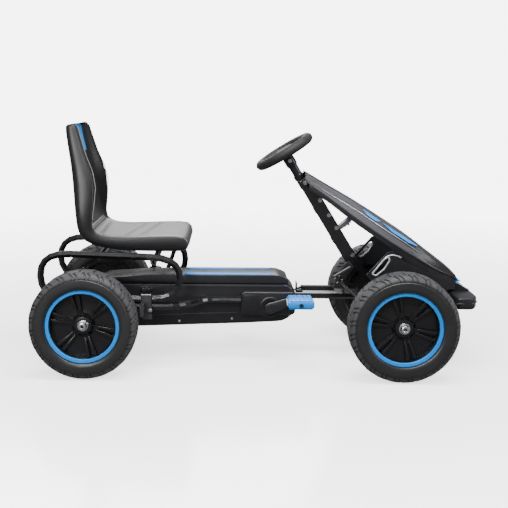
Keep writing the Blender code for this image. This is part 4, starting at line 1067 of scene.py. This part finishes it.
# %% Bolt heads on the frame, the clamps and the case
bm = bmesh.new()
for x in (-0.268, -0.29):
    bolt_pair(bm, x, 0.17, 0.158, 0.0038, 0.0026)
piece("clamp_bolts", bm, "seat", ZINC)
bm = bmesh.new()
for x, z in ((-0.447, 0.196), (-0.395, 0.108), (-0.2, 0.104), (-0.06, 0.112), (0.092, 0.124)):
    bolt_pair(bm, x, CASE_SIDE, z, 0.0026, 0.0016)
for x in (0.32, 0.398):
    bolt_pair(bm, x, 0.02, 0.169, 0.0042)
piece("frame_bolts", bm, "chassis", ZINC)
bm = bmesh.new()
for side in (1, -1):
    cube(bm, (0.018, 0.009, 0.0022), (0.121, side * 0.015, 0.1813))
    cube(bm, (0.0022, 0.009, 0.022), (0.1131, side * 0.015, 0.1912))
    disc(bm, 0.0034, 0.0028, (0.123, side * 0.015, 0.1838), sides=6)
made = piece("case_brackets", bm, "chassis", DARK_METAL, crease=30)
soften(made, 0.0005, 1)
bm = bmesh.new()
bmesh.ops.create_uvsphere(bm, u_segments=28, v_segments=18, radius=0.0102,
                          matrix=Matrix.Translation((-0.281, 0.105, 0.2345)))
disc(bm, 0.0062, 0.01, (-0.28, 0.105, 0.2235), sides=24, top=0.0072)
piece("brake_ball", bm, "brake", KNOB)
print("small parts done")

# %% [markdown]
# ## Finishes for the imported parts
#
# The frame tubes, brackets, shafts and the seat's hoops already have their true shape, so they
# only get a better finish, and a small bevel where a cast or cut edge would catch the light.

# %% Dress the parts that stay
STAYS = {}
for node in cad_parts.values():
    name = node.name
    if name in ("rear_axle", "crank", "brake_lever") or name.endswith("sprocket"):
        finish = ZINC
    elif name.startswith(("steering_shaft", "brake_shaft", "knuckle", "tie_rod", "shaft_bush",
                          "seat_clamp")):
        finish = DARK_METAL
    elif name == "drive_chain":
        finish = CHAIN_METAL
    elif name.startswith(("main_beam", "rear_frame", "axle_bearing", "front_axle", "steering_post",
                          "fairing_brace", "crank_bracket", "seat_frame")):
        finish = PAINT
    elif name.startswith("pedal"):
        finish = BLUE
    else:
        finish = SHELL
    node.data.materials.clear()
    node.data.materials.append(finish.material)
    STAYS[name] = finish.material.name
print(len(STAYS), "packed parts dressed")

# %% [markdown]
# ## Floor and light
#
# A white studio bowl: a flat floor that curves up into a wall all round, so no horizon shows from
# any side. It glows a little, to stay white, but it isn't mirrored in the dark plastic, which would
# turn every black part grey. A large soft light hangs above, with a fill in front, and strips
# in front, at the nose and behind for the bright edges along tubes and mouldings.

# %% Studio bowl
bm = bmesh.new()
cove = [(0.001, 0), (3, 0), (6.0, 0), (6.9, 0.12), (7.6, 0.6), (7.95, 1.4), (8, 2.4), (8, 6)]
start = line(bm, [(r, 0, h) for r, h in cove])
bmesh.ops.spin(bm, geom=start, axis=(0, 0, 1), angle=2 * pi, steps=72, use_merge=True)
bmesh.ops.remove_doubles(bm, verts=bm.verts, dist=0.0001)
bowl = bpy.data.meshes.new("studio_bowl")
bm.to_mesh(bowl)
bm.free()
bowl.shade_smooth()
floor = bpy.data.objects.new("studio_bowl", bowl)
bpy.context.scene.collection.objects.link(floor)
PALE = Finish("pale_floor", (0.93, 0.93, 0.935), 0.16, Emission_Strength=6.0)
x, y, z = PALE.axes()
PALE.set("Emission Color", PALE.mix(((x * x + y * y) ** 0.5).above(2.0, 2.6), (0.3, 0.3, 0.3), (1, 1, 1)))
bowl.materials.append(PALE.material)
floor.visible_glossy = floor.visible_diffuse = False


def soft_light(name, place, aim, size, power, width=None):
    lamp = bpy.data.lights.new(name, "AREA")
    lamp.energy, lamp.size = power, size
    if width:
        lamp.shape, lamp.size_y = "RECTANGLE", width
    made = bpy.data.objects.new(name, lamp)
    bpy.context.scene.collection.objects.link(made)
    made.location = place
    made.rotation_euler = (Vector(aim) - Vector(place)).to_track_quat("-Z", "Y").to_euler()


soft_light("overhead", (0.1, -0.6, 2.6), (0, 0, 0.2), 2.2, 110, 1.0)
soft_light("front_fill", (-1.2, -3.0, 1.3), (0, 0, 0.3), 0.9, 46)
soft_light("key_strip", (-0.3, -2.3, 2.1), (0, 0, 0.25), 2.6, 60, 0.12)
soft_light("side_strip", (2.4, -1.0, 1.3), (0.2, 0, 0.3), 0.5, 30, 1.8)
soft_light("back_strip", (-0.6, 2.4, 1.6), (0, 0, 0.3), 2.4, 45, 0.7)
world = bpy.data.worlds.new("studio")
bpy.context.scene.world = world
world.use_nodes = True
world.node_tree.nodes["Background"].inputs["Color"].default_value = (1, 1, 1, 1)
world.node_tree.nodes["Background"].inputs["Strength"].default_value = 0.35
print("studio lit")
